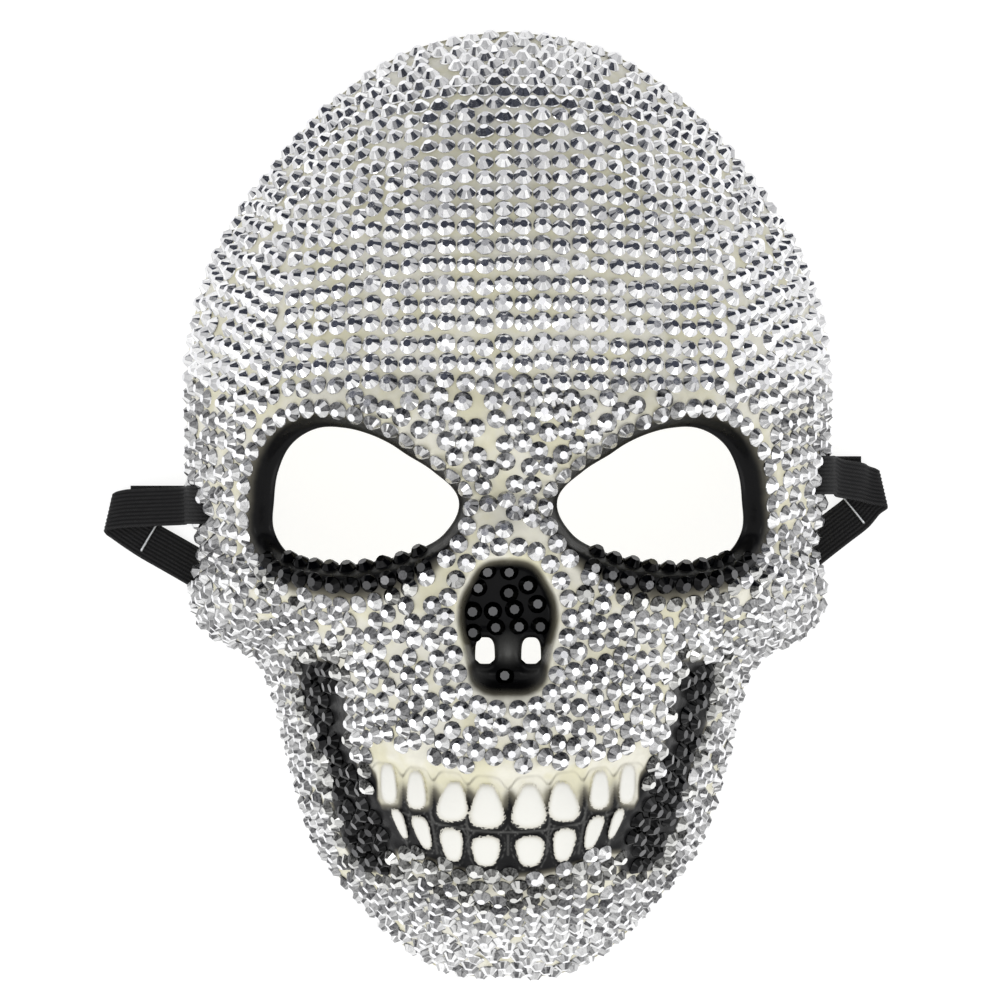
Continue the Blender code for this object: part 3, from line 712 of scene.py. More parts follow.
def cutSlots(shell):
    # slots for the elastic, cut through the side walls
    cutters = []
    boxFaces = [(0, 2, 3, 1), (4, 5, 7, 6), (0, 1, 5, 4), (1, 3, 7, 5), (3, 2, 6, 7), (2, 0, 4, 6)]
    for place in (leftEnd, rightEnd):
        sx, sy, sz = place["slot"]
        corners = [(sx + a * 0.008, sy + b * mask["slotLength"] / 2, sz + c * mask["slotHeight"] / 2)
                   for c in (-1, 1) for b in (-1, 1) for a in (-1, 1)]
        cutter = addMesh("slotCutter", corners, boxFaces)
        cutters.append(cutter)
        step = shell.modifiers.new("slot", "BOOLEAN")
        step.operation = "DIFFERENCE"
        step.solver = "EXACT"
        step.object = cutter
    bpy.context.view_layer.update()
    seen = shell.evaluated_get(bpy.context.evaluated_depsgraph_get())
    cut = bpy.data.meshes.new_from_object(seen)
    shell.modifiers.clear()
    shell.data = cut
    for cutter in cutters:
        bpy.data.objects.remove(cutter)


def paintShell(shell):
    data = shell.data
    co = np.empty(len(data.vertices) * 3)
    data.vertices.foreach_get("co", co)
    x, y, z = co.reshape(-1, 3).T
    onTop = z > outerHeight(x, y) - 0.0009
    wallInk = (eyeAway(x, y) < 0.0012) | (nostrilAway(x, y) < 0.0010)
    storeValues(shell, "ink", np.where(onTop | wallInk, inkOf(x, y), 0.0))
    storeValues(shell, "tooth", np.where(onTop, toothField(x, y), -3.0))
    # the ridge values hold the painted highlights, and raise the lines they lie on
    storeValues(shell, "ridge", np.where(onTop, ridgeAndHighlightOf(x, y), 0.0))
    data.materials.clear()
    data.materials.append(dressShell())
    data.polygons.foreach_set("use_smooth", [True] * len(data.polygons))
    data.set_sharp_from_angle(angle=math.radians(shellGrid["sharpDegrees"]))


elastic = {
    "width": 0.0100, "thick": 0.0011, "clear": 0.00012, "rise": 0.0014, "ribs": 10, "ribDepth": 0.00022,
    "reach": 0.275, "leaveLeft": -30, "leaveRight": 38.7, "step": 0.0011, "weft": 0.00062,
    # colour is the elastic's black; edge is the grey of the painted highlight on the rib crests
    "colour": (0.0035, 0.0035, 0.004), "edge": (0.045, 0.045, 0.046), "rough": 0.62,
    "specular": 0.16, "sheen": 0.05, "sheenRough": 0.4, "bump": 0.7, "bumpDepth": 0.00012,
    "grain": (2600.0, 3.0, 0.3, 0.7),
}


def slotPlace(side, y):
    edge = halfL * float(curveThrough(np.degrees(np.arctan2(y, halfW)), outlineRows))
    x = side * (edge - mask["slotInset"])
    return (x, y, float(outerHeight(np.array([x]), np.array([y]))[0]))


# angles are those of the line across the elastic, seen from above
leftEnd = {
    "side": -1, "slot": slotPlace(-1, -0.0006), "rimY": -0.0009, "foldX": 0.1042,
    "foldY": (-0.0017, -0.0040), "staple": (0.0942, -0.0098), "under": (0.0826, -0.0165),
    "across": (85.4, 102.7, 120.0),
}
rightEnd = {
    "side": 1, "slot": slotPlace(1, 0.0071), "rimY": 0.0063, "foldX": 0.0980,
    "foldY": (0.0045, 0.0025), "staple": (0.0911, -0.0028), "under": (0.0819, -0.0100),
    "across": (81.0, 104.8, 128.7),
}


def splinePath(points, count):
    p = np.array([points[0]] + list(points) + [points[-1]], float)
    out = []
    for k in range(1, len(p) - 2):
        for t in np.arange(count) / count:
            a = -t + 2 * t**2 - t**3
            b = 2 - 5 * t**2 + 3 * t**3
            c = t + 4 * t**2 - 3 * t**3
            d = -(t**2) + t**3
            out.append(0.5 * (a * p[k - 1] + b * p[k] + c * p[k + 1] + d * p[k + 2]))
    out.append(p[-2])
    return np.array(out)


def endPath(place):
    # stations from the cut end to where the elastic goes under the rim:
    # distance out from the middle, y, z and the angle of the line across
    slotX = abs(place["slot"][0])
    slotY, slotZ = place["slot"][1], place["slot"][2]
    rimY, foldY = place["rimY"], place["foldY"]
    staple, under = place["staple"], place["under"]
    rimZ = float(rimHeight(np.array([rimY]))[0])
    edge = slotX + mask["slotInset"]
    fold = place["foldX"]
    low = elastic["thick"] / 2 + elastic["clear"]
    high = low + elastic["rise"]
    first, mid, last = place["across"]
    turn = 0.0013
    return [
        (fold - 0.0055, slotY, low, 90.0),
        (edge + 0.0020, slotY, low, 90.0),
        (edge - 0.0045, slotY, low + 0.0004, 90.0),
        (edge - 0.0105, slotY, low + 0.0050, 90.0),
        (edge - 0.0115, slotY, slotZ * 0.62, 90.0),
        (edge - 0.0100, slotY, slotZ - 0.0004, 90.0),
        (edge - 0.0062, slotY, slotZ + 0.0003, 90.0),
        (slotX + 0.0012, slotY, slotZ + 0.0001, 90.0),
        (edge + 0.0002, slotY, slotZ - 0.0030, 90.0),
        (edge + 0.0014, slotY, slotZ - 0.0070, 90.0),
        (edge + 0.0028, rimY, rimZ + 0.0008, first),
        ((edge + fold) / 2 + 0.001, (rimY + foldY[0]) / 2, (rimZ + high) / 2 + 0.0012, first),
        (fold - 0.0035, foldY[0], high + 2 * turn + 0.0006, (first + mid) / 2),
        (fold, (foldY[0] + foldY[1]) / 2, high + turn, mid),
        (fold - 0.0030, foldY[1] - 0.0012, high, (mid + last) / 2),
        (staple[0], staple[1], high, last),
        ((staple[0] + under[0]) / 2, (staple[1] + under[1]) / 2, (high + low) / 2, last),
        (under[0], under[1], low, last),
    ]


def elasticPath(stepsPerPoint, runSteps):
    left = splinePath(endPath(leftEnd), stepsPerPoint)
    right = splinePath(endPath(rightEnd), stepsPerPoint)
    left[:, 0] *= -1
    left[:, 3] = 180 - left[:, 3]
    start, stop = left[-1], right[-1]
    ways = [math.radians(elastic[key]) for key in ("leaveLeft", "leaveRight")]
    outA, outB = ((math.cos(way), math.sin(way)) for way in ways)
    reach = elastic["reach"]

    def blend(h, i):
        return h[0] * start[i] + h[1] * reach * outA[i] + h[2] * stop[i] + h[3] * reach * outB[i]

    run = []
    for k in range(1, runSteps):
        t = k / runSteps
        spot = (2 * t**3 - 3 * t**2 + 1, t**3 - 2 * t**2 + t, 3 * t**2 - 2 * t**3, t**3 - t**2)
        way = (6 * t**2 - 6 * t, 3 * t**2 - 4 * t + 1, 6 * t - 6 * t**2, 3 * t**2 - 2 * t)
        angle = math.degrees(math.atan2(blend(way, 1), blend(way, 0))) + 90
        run.append((blend(spot, 0), blend(spot, 1), elastic["thick"] / 2 + elastic["clear"], angle))
    return np.vstack([left, np.array(run), right[::-1]])


def resample(rows, step):
    length = lengthAlong(rows[:, :3])
    at = np.linspace(0, length[-1], int(length[-1] / step) + 1)
    return np.stack([np.interp(at, length, rows[:, c]) for c in range(rows.shape[1])], 1), at


def dressElastic():
    slot, tree, shader = newMaterial("ribbedElastic")
    weft = mathNode(tree, "SINE", times(tree, readValue(tree, "along"), 2 * math.pi / elastic["weft"]))
    cord = mathNode(tree, "SINE", times(tree, readValue(tree, "across"), math.pi * elastic["ribs"] * 4))
    thread = times(tree, weft, cord)
    grain = placeGrain(tree, *elastic["grain"])
    # the knit's threads show lighter on the rib crests than in the valleys: the knit's texture, with painted
    # highlight on the crests and painted shade in the valleys
    lit = mapRange(tree, thread, -1.0, 1.0, 0.0, 0.6, smooth=False)
    lit = times(tree, times(tree, grain["Mask"], 0.3, lit), readValue(tree, "rib"))
    height = times(tree, thread, 1.0, grain["Height"])
    bump = {"Strength": elastic["bump"], "Distance": elastic["bumpDepth"], "Height": height}
    setInputs(tree, shader, {
        "Base Color": mixColours(tree, lit, elastic["colour"], elastic["edge"]),
        "Roughness": elastic["rough"], "Specular IOR Level": elastic["specular"],
        "Sheen Weight": elastic["sheen"], "Sheen Roughness": elastic["sheenRough"],
        "Normal": putNode(tree, "ShaderNodeBump", bump).outputs["Normal"],
    })
    return slot


def buildElastic():
    rows, at = resample(elasticPath(6, 60), elastic["step"])
    centre = rows[:, :3]
    angle = np.radians(rows[:, 3])
    across = np.stack([np.cos(angle), np.sin(angle), np.zeros(len(rows))], 1)
    along = np.gradient(centre, axis=0)
    for turn in range(3):
        along[1:-1] = (along[:-2] + 2 * along[1:-1] + along[2:]) / 4
    along /= np.linalg.norm(along, axis=1)[:, None]
    face = np.cross(along, across)
    face /= np.linalg.norm(face, axis=1)[:, None]
    ribs = elastic["ribs"]
    u = np.linspace(-1, 1, ribs * 4 + 1)
    rib = 0.5 + 0.5 * np.cos(u * math.pi * ribs + math.pi * (ribs % 2 == 0))
    edge = np.sqrt(np.clip(1 - np.abs(u) ** 14, 0.02, 1))
    topSide = (elastic["thick"] / 2 - elastic["ribDepth"] * (1 - rib)) * edge
    section = [(a * elastic["width"] / 2, t, r) for a, t, r in zip(u, topSide, rib)]
    section += [(w, -t, r) for w, t, r in section[::-1]]
    verts = [centre[k] + across[k] * w + face[k] * t for k in range(len(rows)) for w, t, r in section]
    band = addMesh("elasticBand", verts, tubeFaces(len(rows), len(section)))
    widths, _, ribValues = np.array(section).T
    storeValues(band, "rib", np.tile(ribValues, len(rows)))
    storeValues(band, "across", np.tile(widths / elastic["width"], len(rows)))
    storeValues(band, "along", np.repeat(at, len(section)))
    band.data.materials.append(dressElastic())
    print("elastic", len(verts), "points, length", round(float(at[-1]) / mm, 1), "mm")
    return band


staple = {
    "length": 0.0094, "wire": 0.0006, "gap": 0.0002, "corner": 0.0007, "foot": 0.0004, "sides": 10,
    "light": (0.62, 0.63, 0.64), "dark": (0.42, 0.43, 0.44), "rough": 0.3,
    "grain": (3000.0, 2.0, 0.3, 0.7),
}


def dressWire():
    slot, tree, shader = newMaterial("stapleWire")
    grain = placeGrain(tree, *staple["grain"])
    colour = mixColours(tree, grain["Mask"], staple["light"], staple["dark"])
    setInputs(tree, shader, {"Base Color": colour, "Roughness": staple["rough"], "Metallic": 1.0})
    return slot


def buildStaple(name, place, slot):
    # flat wire, bent with small corner radii
    angle = place["across"][2] if place["side"] > 0 else 180 - place["across"][2]
    middle = elastic["thick"] / 2 + elastic["clear"] + elastic["rise"]
    wire, corner, sides = staple["wire"], staple["corner"], staple["sides"]
    top = middle + elastic["thick"] / 2 + staple["gap"] + wire / 2
    half = staple["length"] / 2 - wire / 2
    path = [(-half, staple["foot"]), (-half, top - corner)]
    path += [(-half + corner * (1 - math.cos(a)), top - corner + corner * math.sin(a))
             for a in np.linspace(0.2, math.pi / 2, 6)]
    path += [(-p[0], p[1]) for p in path[::-1]]
    path = np.array(path)
    way = np.gradient(path, axis=0)
    way /= np.linalg.norm(way, axis=1)[:, None]
    turn = Matrix.Rotation(math.radians(angle), 3, "Z")
    shift = Vector((place["side"] * place["staple"][0], place["staple"][1], 0))
    shift = shift + turn @ Vector((staple["length"] * 0.12, 0, 0))
    verts = []
    for p, d in zip(path, way):
        for k in range(sides):
            a = 2 * math.pi * k / sides
            u = math.cos(a) * wire * 0.58
            v = math.sin(a) * wire / 2
            verts.append(turn @ Vector((p[0] - d[1] * v, u, p[1] + d[0] * v)) + shift)
    thing = addMesh(name, verts, tubeFaces(len(path), sides))
    faceOutwards(thing)
    thing.data.materials.append(slot)
    return thing


stone = {
    "wide": 0.0048, "high": 0.0019, "girdle": 0.20, "tableSilver": 0.43, "tableBlack": 0.50,
    "sink": 0.00012, "closest": 0.00460, "wideSpread": 0.015, "highSpread": 0.03,
    # the chin values and the dark values after them place the painted dark reflections on the facets
    "grain": (1500.0, 2.0, 0.35, 0.65), "chinReflectionDarkFrom": -0.104, "chinReflectionDarkFade": 0.006,
    "reflectionDarkTurn": 0.55, "reflectionDarkSpread": (0.35, 1.25), "reflectionDarkFrom": 0.20,
    "depthOfCut": 0.655,  # how much of a facet's tilt shows in the silvered back's picture
}
# how the silver stones are set, in metres
field = {
    "firstInset": 0.0026, "sidePitch": 0.00466, "sideColumns": 12, "stonePitch": 0.00478,
    "columnPitch": 0.00486, "closestInRows": 0.00440, "closestHigh": 0.00422, "closestLow": 0.00443,
    "fillStep": 0.00042, "aboveRim": 0.0024, "aboveFloor": 0.00005,
    "foreheadFrom": 0.030, "jawBelow": -0.060, "besideFrom": 0.0575, "besideAbove": -0.018,
    "staggerFrom": 0.100, "hingeZ": -0.40,
}
# distance out from the eye hole's edge, first and last angle of a row of black stones
lidRows = ((0.0009, 214, 324), (0.0052, 220, 330))
# from dark to light: a grey and how much stronger its blue is. The black stones' facets keep their own
# black; the other greys, set per stone and per facet, are painted reflections
stoneLooks = {
    "silverStone": {
        "facets": ((0.42, 1.03), (0.97, 1.0)), "tables": ((0.70, 1.03), (0.97, 1.03)),
        "rough": 0.09, "coat": 0.3, "depth": stone["depthOfCut"],
    },
    # a copy of the silver stones for the cheeks and jaw, its facets painted from near black to white and its
    # tables near white: painted reflections
    "silverStoneDarkerReflectionsBelow": {
        "facets": ((0.03, 1.15), (1.0, 1.0)), "tables": ((0.90, 1.03), (0.98, 1.03)),
        "rough": 0.24, "coat": 0.3, "depth": stone["depthOfCut"],
    },
    "blackStone": {
        "facets": ((0.003, 1.03), (0.028, 1.03)), "tables": ((0.03, 1.03), (0.14, 1.03)),
        "rough": 0.07, "coat": 0.0, "depth": 1.6,
    },
    # silver stones painted darker, for places beside the grooves, under the eye holes and under the teeth:
    # painted dark reflections
    "darkReflectingStone": {
        "facets": ((0.012, 0.97), (0.85, 0.97)), "tables": ((0.45, 0.97), (0.95, 0.97)),
        "rough": 0.07, "coat": 0.2, "depth": 0.9,
    },
}
# where the rows of stones cross the middle line of the forehead, in mm above the cross line
rowPlaces = (
    122.4, 121.1, 119.6, 117.8, 115.9, 113.7, 111.5, 108.9, 106.1, 102.8, 99.1, 95.1, 90.8, 86.7,
    82.6, 78.3, 73.9, 69.7, 65.1, 60.2, 54.9, 50.1, 45.3, 39.8, 35.0, 30.2,
)
# height up the middle line in mm, degrees by which the stones' shading normals there lean more to the
# forehead's top
leanRows = (
    (0, 0.0), (25, 0.0), (38, -1.0), (50, -4.0), (61, -6.0), (72, -4.0), (83, -5.0), (90, -8.0),
    (99, -7.0), (105, 0.0), (111, 5.0), (118, 4.0), (123, 2.0),
)
# the nose cavity's black stones, in mm from the middle line and from the cross line
nosePlaces = (
    (-5.3, -17.0), (0.3, -17.2), (-7.5, -21.3), (5.0, -20.7), (0.3, -22.7), (-8.9, -27.3), (-3.8, -27.3),
    (1.6, -26.8), (7.3, -25.5), (-8.7, -32.8), (-3.0, -31.5), (2.7, -31.2), (8.0, -31.2), (-0.8, -43.6),
)


def stoneTemplate(table):
    # table of eight, eight wide wedges, eight narrow triangles between them and a thin girdle
    n = 8
    narrow = math.radians(9.0)
    angles = [2 * math.pi * k / n for k in range(n)]
    verts = [(table / 2 * math.cos(a), table / 2 * math.sin(a), 1.0) for a in angles]
    for level in (stone["girdle"], 0.0):
        verts += [(0.5 * math.cos(a + d), 0.5 * math.sin(a + d), level)
                  for a in angles for d in (-narrow, narrow)]
    facets = [tuple(range(n))]
    for k in range(n):
        after = (k + 1) % n
        left = n + 2 * k
        facets.append((k, left, left + 1))
        facets.append((k, left + 1, n + 2 * after, after))
    for j in range(2 * n):
        a = n + j
        b = n + (j + 1) % (2 * n)
        facets.append((a, a + 2 * n, b + 2 * n, b))
    facets.append(tuple(range(3 * n, 5 * n))[::-1])
    return np.array(verts), facets


def stoneField(name, spots, normals, slot, table, tiltDegrees, upReflectionDark=0.0, lowTint=0.0):
    base, facets = stoneTemplate(table)
    extra = np.radians(curveThrough(spots[:, 1] / mm, leanRows))
    count = len(spots)
    verts = np.empty((count, len(base), 3))
    axes = np.empty((count, 3))
    up = Vector((0, 0, 1))
    for k in range(count):
        normal = Vector(normals[k]) + Vector(random.normal(0, math.radians(tiltDegrees), 3))
        normal.normalize()
        spin = Matrix.Rotation(random.uniform(0, math.tau), 3, "Z")
        turn = up.rotation_difference(normal).to_matrix() @ spin
        wide = stone["wide"] * (1 + random.normal(0, stone["wideSpread"]))
        high = stone["high"] * (1 + random.normal(0, stone["highSpread"]))
        spot = Vector(spots[k]) - Vector(normals[k]) * stone["sink"]
        verts[k] = base * (wide, wide, high) @ np.array(turn).T + np.array(spot)
        # what the shader adds to a facet's own normal
        more = Matrix.Rotation(-extra[k], 3, "X") @ normal - normal
        axes[k] = normal * (1 - stone["depthOfCut"]) + more
    # a stone that would reach below the floor is lifted clear of it
    verts[:, :, 2] -= np.minimum(verts[:, :, 2].min(axis=1) - field["aboveFloor"], 0)[:, None]
    faces = [tuple(k * len(base) + v for v in facet) for k in range(count) for facet in facets]
    thing = addMesh(name, verts.reshape(-1, 3), faces, smooth=False)
    # each stone and each facet has its own small change of brightness, a painted reflection, kept at its
    # corners
    tints = random.uniform(lowTint, 1.0, count)
    corners = np.array([len(f) for f in facets])
    shades = random.uniform(0.0, 1.0, (count, len(facets)))
    # facets that look up are painted darker on the lower face, on the chin's end those that look down:
    # painted dark reflections
    chin = ease((stone["chinReflectionDarkFrom"] - spots[:, 1]) / stone["chinReflectionDarkFade"])
    turned = random.normal(0, stone["reflectionDarkTurn"], count)
    amount = unit(upReflectionDark * random.uniform(*stone["reflectionDarkSpread"], count)) * (1 - chin)
    for j, facet in enumerate(facets):
        a, b, c = (verts[:, facet[i]] for i in range(3))
        face = np.cross(b - a, c - a)
        tilt = face / np.linalg.norm(face, axis=1)[:, None] - normals
        upward = tilt[:, 0] * np.sin(turned) + tilt[:, 1] * np.cos(turned)
        dark = amount * ease((upward - stone["reflectionDarkFrom"]) / 0.12)
        shades[:, j] *= 1 - dark - 0.95 * chin * ease((-upward - stone["reflectionDarkFrom"]) / 0.10)
    isTable = np.zeros(corners.sum())
    isTable[:corners[0]] = 1.0
    tints = np.repeat(tints, corners.sum())
    shades = np.repeat(shades.reshape(-1), np.tile(corners, count))
    colours = np.stack([tints, shades, np.tile(isTable, count), np.ones_like(tints)], 1)
    layer = thing.data.color_attributes.new("cut", "FLOAT_COLOR", "CORNER")
    layer.data.foreach_set("color", colours.astype(np.float32).ravel())
    storeValues(thing, "axis", np.repeat(axes, len(base), axis=0), "FLOAT_VECTOR", "vector")
    thing.data.materials.append(slot)
    return thing


def dressStones(name, look):
    slot, tree, shader = newMaterial(name)
    cut = putNode(tree, "ShaderNodeVertexColor", layer_name="cut").outputs["Color"]
    tint, shade, isTable = putNode(tree, "ShaderNodeSeparateColor", {"Color": cut}).outputs
    grain = placeGrain(tree, *stone["grain"])
    # the greys of the facets, set per stone and per facet, and the greys of the tables are painted
    # reflections
    shade = times(tree, shade, 0.75, times(tree, grain["Mask"], 0.10))
    shade = times(tree, times(tree, tint, 0.40, 0.90), shade)
    side = mixColours(tree, shade, *map(grey, look["facets"]))
    top = mixColours(tree, tint, *map(grey, look["tables"]))
    # the silvered back, seen through the cut top, shows only a part of each facet's tilt
    facet = putNode(tree, "ShaderNodeNewGeometry").outputs["Normal"]
    lean = putNode(tree, "ShaderNodeVectorMath", {0: facet, "Scale": look["depth"]}, operation="SCALE")
    both = {0: lean.outputs[0], 1: readValue(tree, "axis", "Vector")}
    both = putNode(tree, "ShaderNodeVectorMath", both, operation="ADD").outputs[0]
    leant = putNode(tree, "ShaderNodeVectorMath", {0: both}, operation="NORMALIZE").outputs[0]
    rough = look["rough"]
    setInputs(tree, shader, {
        "Base Color": mixColours(tree, isTable, side, top), "Metallic": 1.0, "Normal": leant,
        "Roughness": mapRange(tree, grain["Mask"], 0.0, 1.0, rough, rough + 0.10, smooth=False),
        "Coat Weight": look["coat"], "Coat Roughness": 0.03,
    })
    return slot


def grey(shades):
    # a grey, and how much stronger its blue is
    value, blue = shades
    return (value, value, value * blue)


def lift(x, y):
    # places on the face, in three dimensions
    z = outerHeight(np.atleast_1d(x), np.atleast_1d(y), False)
    return np.stack([np.atleast_1d(x), np.atleast_1d(y), z], 1)


def walkCurve(xs, ys, pitch, offset=0.5):
    # places a pitch apart along a curve that lies on the face
    line = lift(xs, ys)
    length = lengthAlong(line)
    count = max(1, int(round(length[-1] / pitch)))
    at = length[-1] * (np.arange(count) + offset) / count
    return np.interp(at, length, line[:, 0]), np.interp(at, length, line[:, 1])


def eyeMargin(angle):
    # from the edge of an eye hole to the nearest silver stones' centres
    outer = unit(np.cos(np.radians(angle - 15))) ** 2
    lower = unit(-np.sin(np.radians(angle))) ** 1.5
    inner = unit(np.cos(np.radians(angle - 150))) ** 2
    return 0.0031 + 0.0046 * outer + 0.0068 * lower - 0.0005 * inner


def borderOf(x, y):
    # how far a place is from anything that carries no silver stone, less than nought inside it
    eye = eyeAway(x, y) - eyeMargin(eyeAngle(x, y))
    nose = noseAway(x, y) - 0.0027
    u = np.abs(x) / halfW
    v = y / halfL
    low = -0.785 + 0.62 * np.minimum(u, 0.28) ** 2
    band = np.minimum((-0.556 + 0.26 * u**2 - v) * halfL, (v - low) * halfL)
    band = np.minimum(band, (0.440 - u) * halfW)
    centre = halfW * curveThrough(v, grooveRows, 1)
    half = halfW * curveThrough(v, grooveRows, 2)
    ends = np.minimum((v + 0.80) * halfL, (-0.330 - v) * halfL)
    grooveIn = np.minimum(half * 0.97 + 0.0009 - np.abs(np.abs(x) - centre), ends)
    rim = (1 - outlineShare(x, y)) * outlineRadius(x, y) - 0.0003
    return np.minimum.reduce([eye, nose, -band, -grooveIn, rim])


def grooveInside(x, y):
    # how far inside a cheek groove's field of black stones a place is
    v = y / halfL
    half = halfW * curveThrough(v, grooveRows, 2)
    away = np.abs(x) - halfW * curveThrough(v, grooveRows, 1)
    # a bare channel is left along the inner side
    bare = np.where((v < -0.41) & (v > -0.54), 0.45, 0.0)
    across = np.minimum(half * 0.86 + 0.0004 - np.abs(away), away + half * (0.86 - bare) + 0.0004)
    return np.minimum(across, np.minimum((v + 0.785) * halfL, (-0.345 - v) * halfL))


def fillFree(free, taken, closest, jitter=0.0):
    # packs stones into the free places, outwards from those already there
    near = np.full(len(free), 1.0)
    second = np.full(len(free), 1.0)
    closest = np.full(len(free), closest)
    placed = []
    latest = list(taken)
    while True:
        for p in latest:
            d = np.linalg.norm(free - p, axis=1)
            second = np.minimum(second, np.maximum(near, d))
            near = np.minimum(near, d)
        able = near >= closest
        if not able.any():
            return placed
        score = near + second
        if jitter:
            score = score + random.uniform(0, jitter, len(near))
        p = free[int(np.argmin(np.where(able, score, 9)))]
        placed.append(p)
        latest = [p]
        free, near, second, closest = free[able], near[able], second[able], closest[able]


def silverSpots():
    places = np.full((3000, 3), 9.0)  # those not yet used lie far from the face
    count = 0

    def offer(x, y, closest=stone["closest"]):
        nonlocal count
        if borderOf(np.array([x]), np.array([y]))[0] < 0:
            return
        p = lift(x, y)[0]
        if np.min(np.linalg.norm(places - p, axis=1)) >= closest:
            places[count] = p
            count += 1

    # round the eye holes and the nose the stones stand in a ring
    for side in (-1, 1):
        for first, last in ((-52, 218), (222, 304)):
            angle = np.linspace(first, last, 400)
            ring = roundEye(side, angle, eyeMargin(angle) + 0.00025)
            for x, y in zip(*walkCurve(*ring, stone["wide"] * 1.03)):
                offer(x, y)
    # down each side columns follow the outline
    angle = np.radians(np.linspace(-89.5, 89.5, 900))
    shares = np.linspace(1.0, 0.50, 500)
    edge = outlineRadius(np.cos(angle), np.sin(angle))
    for side in (-1, 1):
        reachIn = []
        for a, r in zip(angle, edge):
            line = lift(shares * r * math.cos(a), shares * r * math.sin(a))
            along = lengthAlong(line)
            reachIn.append(along - np.interp(0.0, line[:60, 2], along[:60]))
        for k in range(field["sideColumns"]):
            inset = field["firstInset"] + field["sidePitch"] * k
            share = np.array([np.interp(inset, row, shares) for row in reachIn])
            x = side * share * edge * np.cos(angle)
            y = share * edge * np.sin(angle)
            for sx, sy in zip(*walkCurve(x, y, field["stonePitch"], 0.25 + 0.5 * (k % 2))):
                if k == 0 or (abs(sx) > field["besideFrom"] and sy > field["besideAbove"]):
                    sx = sx + random.normal(0, 0.00010)
                    offer(sx, sy + random.normal(0, 0.00014), field["closestInRows"])
    angle = np.radians(np.linspace(-90, 269, 500))
    r = noseRadius(np.degrees(np.arctan2(np.sin(angle), np.abs(np.cos(angle))))) + 0.0029
    ring = (r * np.cos(angle), r * np.sin(angle) - noseDrop)
    for x, y in zip(*walkCurve(*ring, stone["wide"] * 1.02)):
        offer(x, y)
    # the middle of the forehead: upright columns, each a little higher or lower than the next
    hingeZ = field["hingeZ"]
    columns = np.arange(-14, 15)
    shift = random.normal(0, 0.00055, len(columns))
    for index, y0 in enumerate(np.array(rowPlaces) * mm):
        slope = y0 / (float(outerHeight(np.zeros(1), np.array([y0]), False)[0]) - hingeZ)
        xs = np.linspace(0, 0.0600, 600)
        low, high = np.full_like(xs, -0.02), np.full_like(xs, 0.13)
        for turn in range(26):
            ys = (low + high) / 2
            above = ys > (outerHeight(xs, ys, False) - hingeZ) * slope
            high = np.where(above, ys, high)
            low = np.where(above, low, ys)
        inside = np.hypot(xs, ys) < outlineRadius(xs, ys)
        line = lift(xs[inside], ys[inside])
        along = lengthAlong(line)
        shift = shift * 0.94 + random.normal(0, 0.00016, len(columns))
        # near the top edge the rows are staggered, further down they line up in columns
        nearTop = y0 > field["staggerFrom"]
        stagger = 0.5 * (index % 2) if nearTop else 0.0
        calm = 0.35 if nearTop else 1.0
        for column, up in zip(columns, shift):
            at = (column + stagger) * field["columnPitch"] - 0.0010 + random.normal(0, 0.00012)
            if abs(at) > along[-1]:
                continue
            x = math.copysign(float(np.interp(abs(at), along, line[:, 0])), at)
            y = float(np.interp(abs(at), along, line[:, 1]))
            offer(x, y + up * calm + random.normal(0, 0.00010), field["closestInRows"])
    print("rows of stones", count)
    # what is left is filled from the placed stones outwards
    step = field["fillStep"]
    gx, gy = np.meshgrid(np.arange(-0.084, 0.084, step), np.arange(-0.1245, 0.1235, step))
    gx = gx.ravel() + random.uniform(-0.00015, 0.00015, gx.size)
    gy = gy.ravel() + random.uniform(-0.00015, 0.00015, gy.size)
    good = np.hypot(gx, gy) < outlineRadius(gx, gy) * 0.9985
    gx, gy = gx[good], gy[good]
    good = borderOf(gx, gy) > 0
    free = lift(gx[good], gy[good])
    # no stone reaches below the rim
    free = free[free[:, 2] - np.maximum(rimHeight(free[:, 1]), 0) > field["aboveRim"]]
    high = free[:, 1] > field["foreheadFrom"]
    closest = np.where(high, field["closestHigh"], field["closestLow"])
    spots = list(places[:count])
    spots += fillFree(free, spots, closest)
    print("silver stones", len(spots))
    return np.array(spots)


def grooveSpots(silver):
    # black stones fill the cheek grooves, clear of the silver ones beside them
    step = 0.00035
    spots = []
    for side, left, right in ((-1, -0.062, -0.024), (1, 0.024, 0.062)):
        gx, gy = np.meshgrid(np.arange(left, right, step), np.arange(-0.100, -0.036, step))
        gx, gy = gx.ravel(), gy.ravel()
        good = grooveInside(gx, gy) > 0
        nearby = silver[np.abs(silver[:, 0] - side * 0.04) < 0.03]
        spots += fillFree(lift(gx[good], gy[good]), nearby, stone["closest"], 0.0003)
    return np.array(spots)


def lidSpots():
    # black stones along the lower edge of each eye hole, then a row facing the viewer below them
    spots = []
    for side in (-1, 1):
        for out, first, last in lidRows:
            ring = roundEye(side, np.linspace(first, last, 240), out)
            spots += zip(*walkCurve(*ring, stone["wide"] * 1.05))
    return lift(*np.array(spots).T)


def placePiece(thing, slot, *nodes):
    # the shapes are built round the face's middle line
    thing.data.transform(Matrix.Translation((mask["middleX"], 0, 0)))
    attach(thing, "root")
    if nodes:
        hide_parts(*nodes)


placePiece(buildShell(), "cream_plastic", "mask_shell")
placePiece(buildElastic(), "black_elastic", "elastic_strap")
wireLook = dressWire()
for name, place, node in (("stapleLeft", leftEnd, "staple_left"), ("stapleRight", rightEnd, "staple_right")):
    placePiece(buildStaple(name, place, wireLook), "staple_wire", node)
print("staples placed")

silverLook, silverDarkerReflectionsBelow, blackLook, darkReflectingLook = (dressStones(*row) for row in stoneLooks.items())
spots = silverSpots()
x, y, z = spots.T
facing = outerNormals(x, y)
